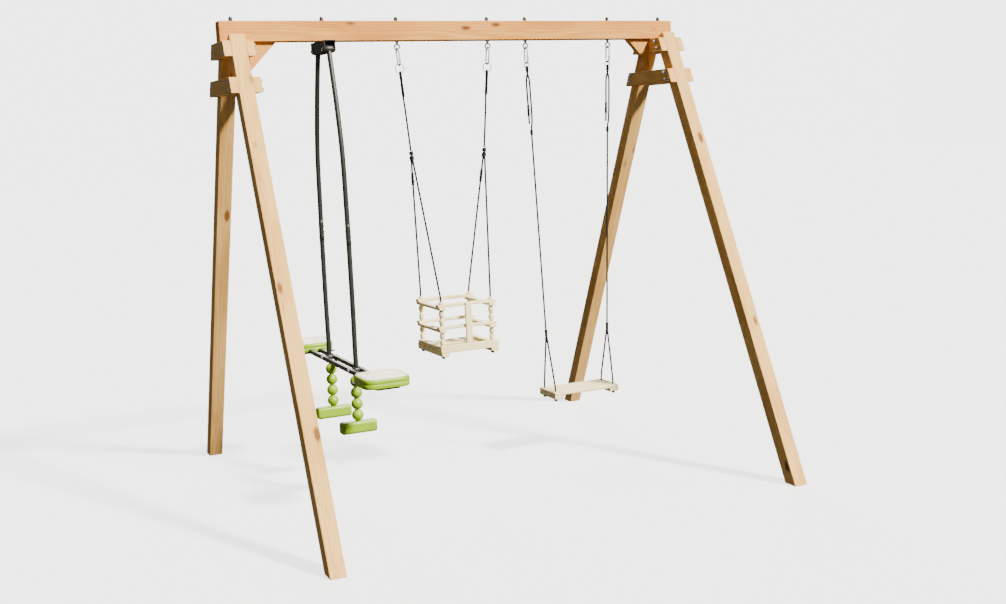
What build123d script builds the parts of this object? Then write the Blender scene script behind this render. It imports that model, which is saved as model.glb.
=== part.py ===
"""Garden swing set: timber frame with a face-to-face glider, a baby swing and a plank swing.

Millimetres. X runs along the beam, -Y is the front, Z is up, the origin is the middle of
the ground plan. Left is -X and right is +X.
"""
import math
import os

from build123d import *

# Timber frame
BEAM_LENGTH = 2700
BEAM_WIDTH = 80
BEAM_DEPTH = 105
TOP_HEIGHT = 2540
LEG_SECTION = 80
LEG_PLANE_INSET = 70
LEG_LEAN = math.radians(25.5)
BRACE_THICK = 40
BRACE_DEPTH = 80
LOWER_BRACE_DROP = 225
SADDLE_GAP = 2
KNEE_THICK = 40
KNEE_ALONG = 145
KNEE_DOWN = 150

# Frame fasteners
BOLT_RADIUS = 5
BOLT_HOLE_CLEARANCE = 0.2
NUT_CLEARANCE = 0.05
BOLT_SPREAD = 20
DOME_HEAD_RADIUS = 12
DOME_HEAD_HEIGHT = 6
WASHER_RADIUS = 14
WASHER_THICK = 2
NUT_FLATS = 17
NUT_HEIGHT = 8
TOP_WASHER_RADIUS = 15
TOP_WASHER_THICK = 3
TOP_NUT_FLATS = 19
TOP_NUT_HEIGHT = 13
SCREW_RADIUS = 2.5
SCREW_HEAD_RADIUS = 6
SCREW_HEAD_HEIGHT = 3
KNEE_SCREW_LENGTH = 95

# Eye bolts and carabiners
EYE_MEAN_RADIUS = 14.5
EYE_WIRE_RADIUS = 4
EYE_COLLAR_RADIUS = 13
EYE_COLLAR_THICK = 3
EYE_DROP = 46
LINK_GAP = 0.3
CARABINER_MEAN_RADIUS = 18
CARABINER_WIRE_RADIUS = 4
CARABINER_LENGTH = 92
GATE_RADIUS = 3.5
GATE_UPPER_REACH = 24
GATE_LOWER_REACH = 20
GATE_PIN_DROP = 16
GATE_PIN_RADIUS = 1.5
GATE_PIN_CLEARANCE = 0.05
GATE_SIDE_GAP = 0.3
GATE_END_GAP = 2
CHEEK_THICK = 1.5
RING_WIRE_RADIUS = 2.5
BABY_RING_RADIUS = 25
PLANK_RING_RADIUS = 16

# Ropes
ROPE_RADIUS = 5
ROPE_HOLE_CLEARANCE = 0.3
FORK_PIN_RADIUS = 4
FORK_SLOT_CLEARANCE = 1.5
CORNER_BEND_RADIUS = 60
END_KNOT_RADIUS = 13

# Baby swing
BABY_CENTRE = -115
BABY_HOOK_HALF = 270
BABY_SEAT_HALF = 150
BABY_TIP_DROP = 589
BABY_BEND_HEIGHT = 1030
BABY_TOP_HEIGHT = 1000
BABY_MIDDLE_HEIGHT = 876
BABY_BASE_HEIGHT = 764
BABY_RAIL_LENGTH = 350
BABY_RAIL_WIDTH = 40
BABY_RAIL_THICK = 16
BABY_BEARER_THICK = 20
BABY_BEARER_WIDTH = 44
BABY_BEARER_REACH = 38
BABY_SLAT_COUNT = 6
BABY_FASCIA_HEIGHT = 42
BABY_POST_WIDTH = 38
BEAD_RADIUS = 15
TOP_BEAD_HEIGHT = 14
SLEEVE_WALL = 1.3
BABY_SLEEVE_TOP = 186
BABY_SLEEVE_LENGTH = 64
KNOT_RADIUS = 13.5
KNOT_TOP_RISE = 43
CORD_SLEEVE_DROP = 78
CORD_SLEEVE_LENGTH = 70
CORD_SLEEVE_RADIUS = 8.5

# Plank swing
PLANK_CENTRE = 661
PLANK_HOOK_HALF = 269
PLANK_HOLE_HALF_X = 195
PLANK_HOLE_HALF_Y = 70
PLANK_TIP_HEIGHT = 700
PLANK_BEND_HEIGHT = 425
PLANK_SEAT_TOP = 400
PLANK_LENGTH = 430
PLANK_WIDTH = 200
PLANK_THICK = 20
BATTEN_WIDTH = 60
BATTEN_THICK = 20
STRAND_HALF = 10
SLIDER_TOP = 319
SLIDER_LENGTH = 62
SLIDER_RADIUS = 9.5
SLIDER_TURNS = 4
TAIL_END = 426
JOIN_START = 415
JOIN_END = 450
FERRULE_TOP = 459
FERRULE_LENGTH = 30
CLAMP_RADIUS = 9.5
CLAMP_RISE = 62
CLAMP_DROP = 10

# Glider
GLIDER_X = -800
BRACKET_HALF_WIDTH = 30
BRACKET_HALF_LENGTH = 120
BRACKET_DEPTH = 61
BRACKET_THICK = 4
BRACKET_TAPER = 18
TOP_PIVOT_Y = 95
TOP_PIVOT_DROP = 45
LOW_PIVOT_Y = 235
LOW_PIVOT_Z = 714
PIVOT_CLEARANCE = 0.05
LOOSE_PIVOT_CLEARANCE = 7.5
TOP_EYE_RADIUS = 19
LOW_EYE_RADIUS = 17
PIVOT_SIDE_GAP = 1
ARM_RADIUS = 13.5
ARM_BOW_WIDTHS = (165, 217, 231, 237, 238, 234)
ARM_BOW_SHARES = (0.845, 0.687, 0.523, 0.356, 0.189, 0.036)
RAIL_WIDTH = 20
RAIL_HEIGHT = 24
RAIL_BOTTOM = 698
RAIL_HALF_GAP = 20
SEAT_INNER_Y = 500
SEAT_LENGTH = 248
SEAT_HALF_WIDTH = 122
SEAT_INNER_HALF_WIDTH = 92
SEAT_CORNER_RADIUS = 55
SEAT_THICK = 50
SEAT_EDGE_RADIUS = 8
PLATE_THICK = 8
PLATE_INNER_HALF = 115
PLATE_OUTER_HALF = 60
SEAT_SCREW_HALF_X = 55
SEAT_SCREW_INSETS = (63, 178)
SEAT_SCREW_RADIUS = 3
POST_Y = 215
BALL_RADIUS = 31
BALL_COUNT = 4
BALL_TOP = 680
FOOTBAR_LENGTH = 200
FOOTBAR_WIDTH = 60
FOOTBAR_TOP = 436
FOOTBAR_HEIGHT = 65
FOOTBAR_ROUND = 12
POST_CORE_RADIUS = 12
POST_FLANGE_THICK = 6
POST_FLANGE_NEAR = 190
POST_FLANGE_FAR = 215

# Sizes that follow from the ones above
BEAM_BOTTOM = TOP_HEIGHT - BEAM_DEPTH
LEG_PLANE_X = BEAM_LENGTH / 2 - LEG_PLANE_INSET
LEAN_TAN = math.tan(LEG_LEAN)
LEG_TOP_Y = BEAM_WIDTH / 2 + LEG_SECTION * math.cos(LEG_LEAN)
LEG_TOP_Z = BEAM_BOTTOM + LEG_SECTION * math.sin(LEG_LEAN)
UPPER_BRACE_HEIGHT = BEAM_BOTTOM - BRACE_DEPTH / 2
LOWER_BRACE_HEIGHT = BEAM_BOTTOM - LOWER_BRACE_DROP
LEG_INNER_X = LEG_PLANE_X - LEG_SECTION / 2
LEG_OUTER_X = LEG_PLANE_X + LEG_SECTION / 2
BRACE_INNER_X = LEG_INNER_X - BRACE_THICK
BRACE_OUTER_X = LEG_OUTER_X + BRACE_THICK
BOLT_HOLE = BOLT_RADIUS + BOLT_HOLE_CLEARANCE
NUT_HOLE = BOLT_RADIUS + NUT_CLEARANCE
BOLT_TIP_Z = TOP_HEIGHT + TOP_WASHER_THICK + TOP_NUT_HEIGHT - 1
HINGE_Z = BEAM_BOTTOM - EYE_DROP
TOP_PIVOT_Z = BEAM_BOTTOM - TOP_PIVOT_DROP
ARM_HEIGHT = TOP_PIVOT_Z - LOW_PIVOT_Z
BABY_TIP_HEIGHT = HINGE_Z - BABY_TIP_DROP
CORD_SLEEVE_TOP = BABY_TIP_HEIGHT - CORD_SLEEVE_DROP
CARABINER_TOP = EYE_WIRE_RADIUS + CARABINER_WIRE_RADIUS + LINK_GAP
CARABINER_BOTTOM = CARABINER_TOP - CARABINER_LENGTH
CARABINER_MIDDLE = (CARABINER_TOP + CARABINER_BOTTOM) / 2
GATE_PIN_Z = CARABINER_MIDDLE - GATE_PIN_DROP
RING_TOP = -(CARABINER_BOTTOM + CARABINER_WIRE_RADIUS + RING_WIRE_RADIUS + LINK_GAP)
ROPE_HOLE = ROPE_RADIUS + ROPE_HOLE_CLEARANCE
LOOP_RADIUS = RING_WIRE_RADIUS + ROPE_RADIUS + LINK_GAP
FORK_RADIUS = FORK_PIN_RADIUS + ROPE_RADIUS + LINK_GAP
STRAND_DEPTH = ROPE_RADIUS + LINK_GAP / 2
BABY_LEAN = math.atan((BABY_HOOK_HALF - BABY_SEAT_HALF) / (HINGE_Z - BABY_BEND_HEIGHT))
PLANK_LEAN = math.atan((PLANK_HOOK_HALF - PLANK_HOLE_HALF_X) / (HINGE_Z - PLANK_BEND_HEIGHT))
BABY_RAIL_STACK = 2 * BABY_RAIL_THICK
BABY_SLAT_BOTTOM = BABY_BASE_HEIGHT - BABY_RAIL_STACK
BABY_BEARER_BOTTOM = BABY_SLAT_BOTTOM - BABY_BEARER_THICK
BABY_FRONT_Y = BABY_SEAT_HALF + BABY_RAIL_WIDTH / 2
PLANK_BATTEN_BOTTOM = PLANK_SEAT_TOP - PLANK_THICK - BATTEN_THICK
SEAT_BOTTOM = RAIL_BOTTOM + 5
SEAT_TOP = SEAT_BOTTOM + SEAT_THICK
LEFT = -1
RIGHT = 1
FRONT = -1
BACK = 1


def block(x0, x1, y0, y1, z0, z1):
    """Box between two opposite corners."""
    middle = Pos((x0 + x1) / 2, (y0 + y1) / 2, (z0 + z1) / 2)
    return middle * Box(abs(x1 - x0), abs(y1 - y0), abs(z1 - z0))


def rod(start, end, radius):
    """Round bar from one point to another."""
    axis = Vector(*end) - Vector(*start)
    return extrude(Plane(origin=start, z_dir=axis) * Circle(radius), axis.length)


def rod_x(x0, x1, y, z, radius):
    """Round bar along X."""
    return rod((x0, y, z), (x1, y, z), radius)


def rod_z(x, y, z0, z1, radius):
    """Round bar along Z."""
    return rod((x, y, z0), (x, y, z1), radius)


def placed(shape, origin, direction):
    """Shape moved so that its own Z axis starts at a point and runs in a direction."""
    return Plane(origin=origin, z_dir=direction).location * shape


def prism_x(outline, x0, x1):
    """Outline in Y and Z, carried along X."""
    face = Plane.YZ * Polygon(*outline, align=None)
    return Pos(min(x0, x1), 0, 0) * extrude(face, abs(x1 - x0), dir=(1, 0, 0))


def dome(radius, height):
    """Shallow cap of a ball standing on its own flat face."""
    ball = (radius * radius + height * height) / (2 * height)
    return (Pos(0, 0, height - ball) * Sphere(ball)) & block(-radius, radius, -radius, radius, 0, height)


def dome_bolt(length):
    """Carriage bolt: domed head above its own origin and shank below it."""
    return dome(DOME_HEAD_RADIUS, DOME_HEAD_HEIGHT) + rod_z(0, 0, -length, 0.5, BOLT_RADIUS)


def hex_bar(flats, z0, z1):
    """Hexagonal bar along its own Z axis."""
    outline = RegularPolygon(flats / 2, 6, major_radius=False)
    return Pos(0, 0, z0) * extrude(outline, z1 - z0)


def washer(radius, thickness, hole):
    """Washer standing on its own origin."""
    return rod_z(0, 0, 0, thickness, radius) - rod_z(0, 0, -1, thickness + 1, hole)


def dome_nut(flats, height):
    """Dome nut with a blind hole, standing on its own origin."""
    cap = flats / 2 - 0.5
    ball = (Pos(0, 0, height) * Sphere(cap)) & block(-cap, cap, -cap, cap, height - 1, height + cap)
    body = hex_bar(flats, 0, height) + ball
    return body - rod_z(0, 0, -1, height, NUT_HOLE)


def hex_bolt(flats, height, length):
    """Hexagonal head below its own origin and shank above it."""
    return hex_bar(flats, -height, 0) + rod_z(0, 0, -1, length, BOLT_RADIUS)


def save(name, *shapes):
    """Write one STEP file that holds every solid of one node."""
    solids = [solid for shape in shapes for solid in shape.solids()]
    export_step(Compound(children=solids), os.path.join("parts", name + ".step"))


def leg_outer_y(z):
    """How far from the middle the outer face of a leg is at a height."""
    return LEG_TOP_Y + (LEG_TOP_Z - z) * LEAN_TAN


def leg_inner_y(z):
    """How far from the middle the inner face of a leg is at a height."""
    return BEAM_WIDTH / 2 + (BEAM_BOTTOM - z) * LEAN_TAN


def bolt_places():
    """Y and Z of the brace bolts on the centre line of a back leg."""
    places = []
    for middle in (UPPER_BRACE_HEIGHT, LOWER_BRACE_HEIGHT):
        for offset in (-BOLT_SPREAD, BOLT_SPREAD):
            z = middle + offset
            places.append(((leg_inner_y(z) + leg_outer_y(z)) / 2, z))
    return places


def make_leg(side, end):
    """Leg sawn square at the top and level at the foot, drilled for the brace bolts."""
    outline = [
        (end * BEAM_WIDTH / 2, BEAM_BOTTOM),
        (end * LEG_TOP_Y, LEG_TOP_Z),
        (end * leg_outer_y(0), 0),
        (end * leg_inner_y(0), 0),
    ]
    leg = prism_x(outline, side * LEG_INNER_X, side * LEG_OUTER_X)
    for y, z in bolt_places():
        leg -= rod_x(side * (LEG_INNER_X - 1), side * (LEG_OUTER_X + 1), end * y, z, BOLT_HOLE)
    return leg


def make_brace(side, near_x, far_x, middle):
    """Cross brace with its ends flush with the outer faces of the legs."""
    low = middle - BRACE_DEPTH / 2
    high = middle + BRACE_DEPTH / 2
    outline = [
        (-leg_outer_y(low), low),
        (leg_outer_y(low), low),
        (leg_outer_y(high), high),
        (-leg_outer_y(high), high),
    ]
    brace = prism_x(outline, side * near_x, side * far_x)
    for y, z in bolt_places():
        for end in (FRONT, BACK):
            brace -= rod_x(side * (near_x - 1), side * (far_x + 1), end * y, z, BOLT_HOLE)
    return brace


def knee_screw_lines():
    """Head place and direction of each knee screw on the right-hand side."""
    lines = []
    slope = Vector(KNEE_DOWN, 0, KNEE_ALONG).normalized()
    for share in (0.33, 0.67):
        x = BRACE_INNER_X - KNEE_ALONG * (1 - share)
        z = BEAM_BOTTOM - KNEE_DOWN * share
        lines.append((x, z, slope.X, slope.Z))
    return lines


def knee_screws(side):
    """Wood screws square to the long face of a knee block."""
    screws = []
    shape = dome(SCREW_HEAD_RADIUS, SCREW_HEAD_HEIGHT)
    shape += rod_z(0, 0, -KNEE_SCREW_LENGTH, 0.5, SCREW_RADIUS)
    for x, z, dx, dz in knee_screw_lines():
        screws.append(placed(shape, (side * x, 0, z), (-side * dx, 0, -dz)))
    return screws


def knee_screw_holes(side):
    """Cutting bars for the knee screws."""
    reach = KNEE_SCREW_LENGTH
    radius = SCREW_RADIUS + NUT_CLEARANCE
    holes = []
    for x, z, dx, dz in knee_screw_lines():
        start = (side * (x - dx), 0, z - dz)
        holes.append(rod(start, (side * (x + dx * reach), 0, z + dz * reach), radius))
    return holes


def make_knee(side):
    """Triangular knee block under the beam against the inner upper brace."""
    outline = [
        (side * BRACE_INNER_X, BEAM_BOTTOM),
        (side * (BRACE_INNER_X - KNEE_ALONG), BEAM_BOTTOM),
        (side * BRACE_INNER_X, BEAM_BOTTOM - KNEE_DOWN),
    ]
    face = Plane.XZ * Polygon(*outline, align=None)
    knee = extrude(face, KNEE_THICK / 2, both=True)
    for hole in knee_screw_holes(side):
        knee -= hole
    return knee


def make_saddle(side):
    """Block between the upper braces that the end bolt pulls the beam down onto."""
    half = BEAM_WIDTH / 2 - SADDLE_GAP
    low = BEAM_BOTTOM - BRACE_DEPTH
    body = block(side * LEG_INNER_X, side * LEG_OUTER_X, -half, half, low, BEAM_BOTTOM)
    return body - rod_z(side * LEG_PLANE_X, 0, low - 1, BEAM_BOTTOM + 1, BOLT_HOLE)


def hook_places():
    """X of the four eye bolts."""
    return (
        BABY_CENTRE - BABY_HOOK_HALF,
        BABY_CENTRE + BABY_HOOK_HALF,
        PLANK_CENTRE - PLANK_HOOK_HALF,
        PLANK_CENTRE + PLANK_HOOK_HALF,
    )


def top_bolt_places():
    """X of every bolt that comes up through the beam."""
    return (-LEG_PLANE_X, GLIDER_X) + hook_places() + (LEG_PLANE_X,)


def make_beam():
    """Top beam drilled for every bolt that comes up through it."""
    half = BEAM_LENGTH / 2
    beam = block(-half, half, -BEAM_WIDTH / 2, BEAM_WIDTH / 2, BEAM_BOTTOM, TOP_HEIGHT)
    for x in top_bolt_places():
        beam -= rod_z(x, 0, BEAM_BOTTOM - 1, TOP_HEIGHT + 1, BOLT_HOLE)
    for side in (LEFT, RIGHT):
        for hole in knee_screw_holes(side):
            beam -= hole
    return beam


def make_eye_bolt(x):
    """Eye bolt: ring, tapered neck, collar and shank."""
    ring = Pos(0, 0, HINGE_Z + EYE_MEAN_RADIUS) * Rot(90, 0, 0) * Torus(EYE_MEAN_RADIUS, EYE_WIRE_RADIUS)
    neck_low = HINGE_Z + 2 * EYE_MEAN_RADIUS - EYE_WIRE_RADIUS / 2
    collar_low = BEAM_BOTTOM - EYE_COLLAR_THICK
    neck_height = collar_low - neck_low
    neck = Pos(0, 0, neck_low + neck_height / 2) * Cone(EYE_WIRE_RADIUS, EYE_COLLAR_RADIUS * 0.7, neck_height)
    collar = rod_z(0, 0, collar_low, BEAM_BOTTOM, EYE_COLLAR_RADIUS)
    shank = rod_z(0, 0, collar_low, BOLT_TIP_Z, BOLT_RADIUS)
    return Pos(x, 0, 0) * (ring + neck + collar + shank)


def joined(*curves):
    """One wire from curves that follow each other."""
    return Wire([edge for curve in curves for edge in curve.edges()])


def tube(path, radius):
    """Round section carried along a path."""
    return sweep(Plane(origin=path @ 0, z_dir=path % 0) * Circle(radius), path=path)


def carabiner_body():
    """Carabiner frame with its gate pin; its own origin is the middle of the eye-bolt wire."""
    r = CARABINER_MEAN_RADIUS
    high = CARABINER_TOP - r
    low = CARABINER_BOTTOM + r
    upper_stub = CARABINER_MIDDLE + GATE_UPPER_REACH + LINK_GAP
    lower_stub = CARABINER_MIDDLE - GATE_LOWER_REACH - GATE_END_GAP
    path = joined(
        Line((0, -r, upper_stub), (0, -r, high)),
        ThreePointArc((0, -r, high), (0, 0, CARABINER_TOP), (0, r, high)),
        Line((0, r, high), (0, r, low)),
        ThreePointArc((0, r, low), (0, 0, CARABINER_BOTTOM), (0, -r, low)),
        Line((0, -r, low), (0, -r, lower_stub)),
    )
    body = tube(path, CARABINER_WIRE_RADIUS)
    inside = GATE_RADIUS + GATE_SIDE_GAP
    outside = inside + CHEEK_THICK
    base = lower_stub - 5
    front = -r - GATE_RADIUS
    rear = -r + GATE_RADIUS
    body += block(-outside, outside, front, rear, base, lower_stub)
    for side in (LEFT, RIGHT):
        body += block(side * inside, side * outside, front, rear, base, GATE_PIN_Z + GATE_RADIUS)
    body += rod_x(-outside, outside, -r, GATE_PIN_Z, GATE_PIN_RADIUS)
    return body


def gate_bar():
    """Gate that turns on the carabiner's pin."""
    low = CARABINER_MIDDLE - GATE_LOWER_REACH
    high = CARABINER_MIDDLE + GATE_UPPER_REACH
    bar = rod_z(0, -CARABINER_MEAN_RADIUS, low, high, GATE_RADIUS)
    reach = GATE_RADIUS + 1
    hole = GATE_PIN_RADIUS + GATE_PIN_CLEARANCE
    return bar - rod_x(-reach, reach, -CARABINER_MEAN_RADIUS, GATE_PIN_Z, hole)


def steel_ring(mean_radius):
    """Ring hanging in a carabiner, in the frame of the carabiner."""
    return Pos(0, 0, -RING_TOP - mean_radius) * Rot(90, 0, 0) * Torus(mean_radius, RING_WIRE_RADIUS)


def line_frame(centre, hook_half, side, lean):
    """Frame of one hanging line: origin at its eye bolt, own Z up along the line."""
    return Location((centre + side * hook_half, 0, HINGE_Z), (0, side * math.degrees(lean), 0))


def line_point(centre, hook_half, side, lean, across, depth, down):
    """Point given across a hanging line, towards the back, and down it from the eye bolt."""
    x = centre + side * (hook_half - down * math.sin(lean)) + across * math.cos(lean)
    z = HINGE_Z - down * math.cos(lean) - side * across * math.sin(lean)
    return (x, depth, z)


def loop_points(down):
    """Corners round the upper half of a ring's bottom wire: depth and distance down, front to back."""
    reach = LOOP_RADIUS / math.cos(math.pi / 8)
    corners = []
    for eighth in (7, 5, 3, 1):
        angle = eighth * math.pi / 8
        corners.append((reach * math.cos(angle), down - reach * math.sin(angle)))
    return corners


def make_rope(name, points, radii):
    """Rope through corner points rounded to the given radii; prints its sizes."""
    path = FilletPolyline(*points, radius=radii)
    rope = tube(path, ROPE_RADIUS)
    expected = math.pi * ROPE_RADIUS * ROPE_RADIUS * path.length
    print(name, "length", round(path.length, 1), "volume share", round(rope.volume / expected, 4))
    print(name, "corner radii", [round(radius, 1) for radius in radii])
    print(name, "points", [tuple(round(value, 1) for value in point) for point in points])
    return rope


def fork_angle(half_depth, tip_height, bend_height, lean):
    """Angle between a forked rope's leg and its line, tangent to the bend round the fork pin."""
    drop = (tip_height - bend_height) / math.cos(lean)
    reach = math.hypot(half_depth, drop)
    return math.atan2(half_depth, drop) - math.asin(FORK_RADIUS / reach)


def forked_rope(name, centre, hook_half, side, lean, half_x, half_y, tip, bend, end):
    """Rope from one seat corner, over the fork pin and down to the other corner."""
    angle = fork_angle(half_y, tip, bend, lean)
    apex_down = (HINGE_Z - tip) / math.cos(lean) - FORK_RADIUS / math.sin(angle)
    apex = line_point(centre, hook_half, side, lean, 0, 0, apex_down)
    x = centre + side * half_x
    points = [(x, -half_y, end), (x, -half_y, bend), apex, (x, half_y, bend), (x, half_y, end)]
    return make_rope(name, points, [CORNER_BEND_RADIUS, FORK_RADIUS, CORNER_BEND_RADIUS])


def fork_body(centre, hook_half, side, lean, tip, lumps):
    """Fork that a forked rope hangs from: solid above, slotted below, with a pin across."""
    down = (HINGE_Z - tip) / math.cos(lean)
    frame = line_frame(centre, hook_half, side, lean)
    body = frame * (Pos(0, 0, -down) * lumps)
    slot_half = ROPE_RADIUS + FORK_SLOT_CLEARANCE
    slot_top = FORK_RADIUS + ROPE_RADIUS + 2 * LINK_GAP - down
    body -= frame * block(-slot_half, slot_half, -50, 50, -down - 60, slot_top)
    pin_x = line_point(centre, hook_half, side, lean, 0, 0, down)[0]
    return body + rod_x(pin_x - slot_half - 1, pin_x + slot_half + 1, 0, tip, FORK_PIN_RADIUS)


def knot_lumps():
    """Two stacked lumps of a knot; its own origin is the fork pin."""
    upper = Pos(0, 0, KNOT_TOP_RISE - KNOT_RADIUS) * Sphere(KNOT_RADIUS)
    lower = Sphere(KNOT_RADIUS)
    core = rod_z(0, 0, 0, KNOT_TOP_RISE - KNOT_RADIUS, KNOT_RADIUS * 0.85)
    trim = block(-40, 40, -40, 40, KNOT_TOP_RISE - 1, KNOT_TOP_RISE + 5)
    return upper + lower + core - trim


def clamp_lumps():
    """Fork clamp with two raised bands; its own origin is the fork pin."""
    body = rod_z(0, 0, -CLAMP_DROP, CLAMP_RISE, CLAMP_RADIUS - 0.7)
    body += rod_z(0, 0, CLAMP_RISE - 12, CLAMP_RISE - 3, CLAMP_RADIUS)
    return body + rod_z(0, 0, -6, 8, CLAMP_RADIUS)


def end_knot(x, y, under):
    """Knot on a rope end under a board, with a blind hole for the rope."""
    ball = Pos(x, y, under - END_KNOT_RADIUS * 0.75) * Sphere(END_KNOT_RADIUS)
    keep = block(x - 20, x + 20, y - 20, y + 20, under - 2 * END_KNOT_RADIUS, under)
    return (ball & keep) - rod_z(x, y, under - 15.5, under + 1, ROPE_HOLE)


def corner_places(centre, half_x, half_y):
    """X and Y of the four rope holes of a seat."""
    return [(centre + sx * half_x, sy * half_y) for sx in (LEFT, RIGHT) for sy in (FRONT, BACK)]


def drilled(shape, places, radius):
    """Shape with upright holes through it."""
    for x, y in places:
        shape -= rod_z(x, y, 0, TOP_HEIGHT, radius)
    return shape


def bead(x, y, low, high):
    """Turned bead on a rope, flat at both ends."""
    middle = (low + high) / 2
    ball = Pos(x, y, middle) * Sphere(BEAD_RADIUS)
    neck = rod_z(x, y, low, high, BEAD_RADIUS * 0.66)
    keep = block(x - 30, x + 30, y - 30, y + 30, low, high)
    return ((ball & keep) + neck) - rod_z(x, y, low - 1, high + 1, ROPE_HOLE)


os.makedirs("parts", exist_ok=True)

# Frame timbers
save("top_beam", make_beam())
for side_name, side in (("left", LEFT), ("right", RIGHT)):
    save("leg_front_" + side_name, make_leg(side, FRONT))
    save("leg_back_" + side_name, make_leg(side, BACK))
    upper_inner = make_brace(side, BRACE_INNER_X, LEG_INNER_X, UPPER_BRACE_HEIGHT)
    for hole in knee_screw_holes(side):
        upper_inner -= hole
    save("brace_upper_inner_" + side_name, upper_inner)
    upper_outer = make_brace(side, LEG_OUTER_X, BRACE_OUTER_X, UPPER_BRACE_HEIGHT)
    save("brace_upper_outer_" + side_name, upper_outer)
    lower_inner = make_brace(side, BRACE_INNER_X, LEG_INNER_X, LOWER_BRACE_HEIGHT)
    save("brace_lower_inner_" + side_name, lower_inner)
    lower_outer = make_brace(side, LEG_OUTER_X, BRACE_OUTER_X, LOWER_BRACE_HEIGHT)
    save("brace_lower_outer_" + side_name, lower_outer)
save("knee_blocks", make_knee(LEFT), make_knee(RIGHT))
save("saddle_blocks", make_saddle(LEFT), make_saddle(RIGHT))

# Frame fasteners
bolt_length = BRACE_OUTER_X - BRACE_INNER_X + WASHER_THICK + NUT_HEIGHT - 1
brace_bolts = []
brace_nuts = []
for side in (LEFT, RIGHT):
    for end in (FRONT, BACK):
        for y, z in bolt_places():
            head = (side * BRACE_OUTER_X, end * y, z)
            brace_bolts.append(placed(dome_bolt(bolt_length), head, (side, 0, 0)))
            face = (side * BRACE_INNER_X, end * y, z)
            brace_nuts.append(placed(washer(WASHER_RADIUS, WASHER_THICK, BOLT_HOLE), face, (-side, 0, 0)))
            seat = (side * (BRACE_INNER_X - WASHER_THICK), end * y, z)
            brace_nuts.append(placed(dome_nut(NUT_FLATS, NUT_HEIGHT), seat, (-side, 0, 0)))
save("brace_bolts", *brace_bolts)
save("brace_nuts", *brace_nuts)
save("knee_screws", *(knee_screws(LEFT) + knee_screws(RIGHT)))
saddle_low = BEAM_BOTTOM - BRACE_DEPTH
bracket_low = BEAM_BOTTOM - BRACKET_THICK
beam_bolts = []
for x, low in ((-LEG_PLANE_X, saddle_low), (GLIDER_X, bracket_low), (LEG_PLANE_X, saddle_low)):
    beam_bolts.append(Pos(x, 0, low) * hex_bolt(NUT_FLATS, NUT_HEIGHT, BOLT_TIP_Z - low))
save("beam_bolts", *beam_bolts)
beam_nuts = []
for x in top_bolt_places():
    beam_nuts.append(Pos(x, 0, TOP_HEIGHT) * washer(TOP_WASHER_RADIUS, TOP_WASHER_THICK, BOLT_HOLE))
    nut_low = TOP_HEIGHT + TOP_WASHER_THICK
    beam_nuts.append(Pos(x, 0, nut_low) * dome_nut(TOP_NUT_FLATS, TOP_NUT_HEIGHT))
save("beam_nuts", *beam_nuts)
save("eye_bolts", *[make_eye_bolt(x) for x in hook_places()])

# Glider bracket and its pivot bolts
cheek_low = BEAM_BOTTOM - BRACKET_DEPTH
cheek_outline = [
    (-BRACKET_HALF_LENGTH, BEAM_BOTTOM),
    (BRACKET_HALF_LENGTH, BEAM_BOTTOM),
    (BRACKET_HALF_LENGTH, cheek_low + BRACKET_TAPER * 1.4),
    (BRACKET_HALF_LENGTH - BRACKET_TAPER * 0.4, cheek_low + BRACKET_TAPER * 0.5),
    (BRACKET_HALF_LENGTH - BRACKET_TAPER, cheek_low),
    (-BRACKET_HALF_LENGTH + BRACKET_TAPER, cheek_low),
    (-BRACKET_HALF_LENGTH + BRACKET_TAPER * 0.4, cheek_low + BRACKET_TAPER * 0.5),
    (-BRACKET_HALF_LENGTH, cheek_low + BRACKET_TAPER * 1.4),
]
bracket_inside = BRACKET_HALF_WIDTH - BRACKET_THICK
bracket = block(
    GLIDER_X - BRACKET_HALF_WIDTH,
    GLIDER_X + BRACKET_HALF_WIDTH,
    -BRACKET_HALF_LENGTH,
    BRACKET_HALF_LENGTH,
    bracket_low,
    BEAM_BOTTOM,
)
for side in (LEFT, RIGHT):
    near_x = GLIDER_X + side * bracket_inside
    bracket += prism_x(cheek_outline, near_x, GLIDER_X + side * BRACKET_HALF_WIDTH)
bracket -= rod_z(GLIDER_X, 0, bracket_low - 1, BEAM_BOTTOM + 1, BOLT_HOLE)
pin_hole = BOLT_RADIUS + PIVOT_CLEARANCE
top_pins = []
for end in (FRONT, BACK):
    y = end * TOP_PIVOT_Y
    reach = BRACKET_HALF_WIDTH + 1
    bracket -= rod_x(GLIDER_X - reach, GLIDER_X + reach, y, TOP_PIVOT_Z, pin_hole)
    origin = (GLIDER_X - BRACKET_HALF_WIDTH, y, TOP_PIVOT_Z)
    shank = 2 * BRACKET_HALF_WIDTH + NUT_HEIGHT + 4
    top_pins.append(placed(hex_bolt(NUT_FLATS, NUT_HEIGHT, shank), origin, (1, 0, 0)))
    nut = hex_bar(NUT_FLATS, 0, NUT_HEIGHT) - rod_z(0, 0, -1, NUT_HEIGHT + 1, NUT_HOLE)
    top_pins.append(placed(nut, (GLIDER_X + BRACKET_HALF_WIDTH, y, TOP_PIVOT_Z), (1, 0, 0)))
save("glider_bracket", bracket)
save("glider_top_pins", *top_pins)

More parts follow.
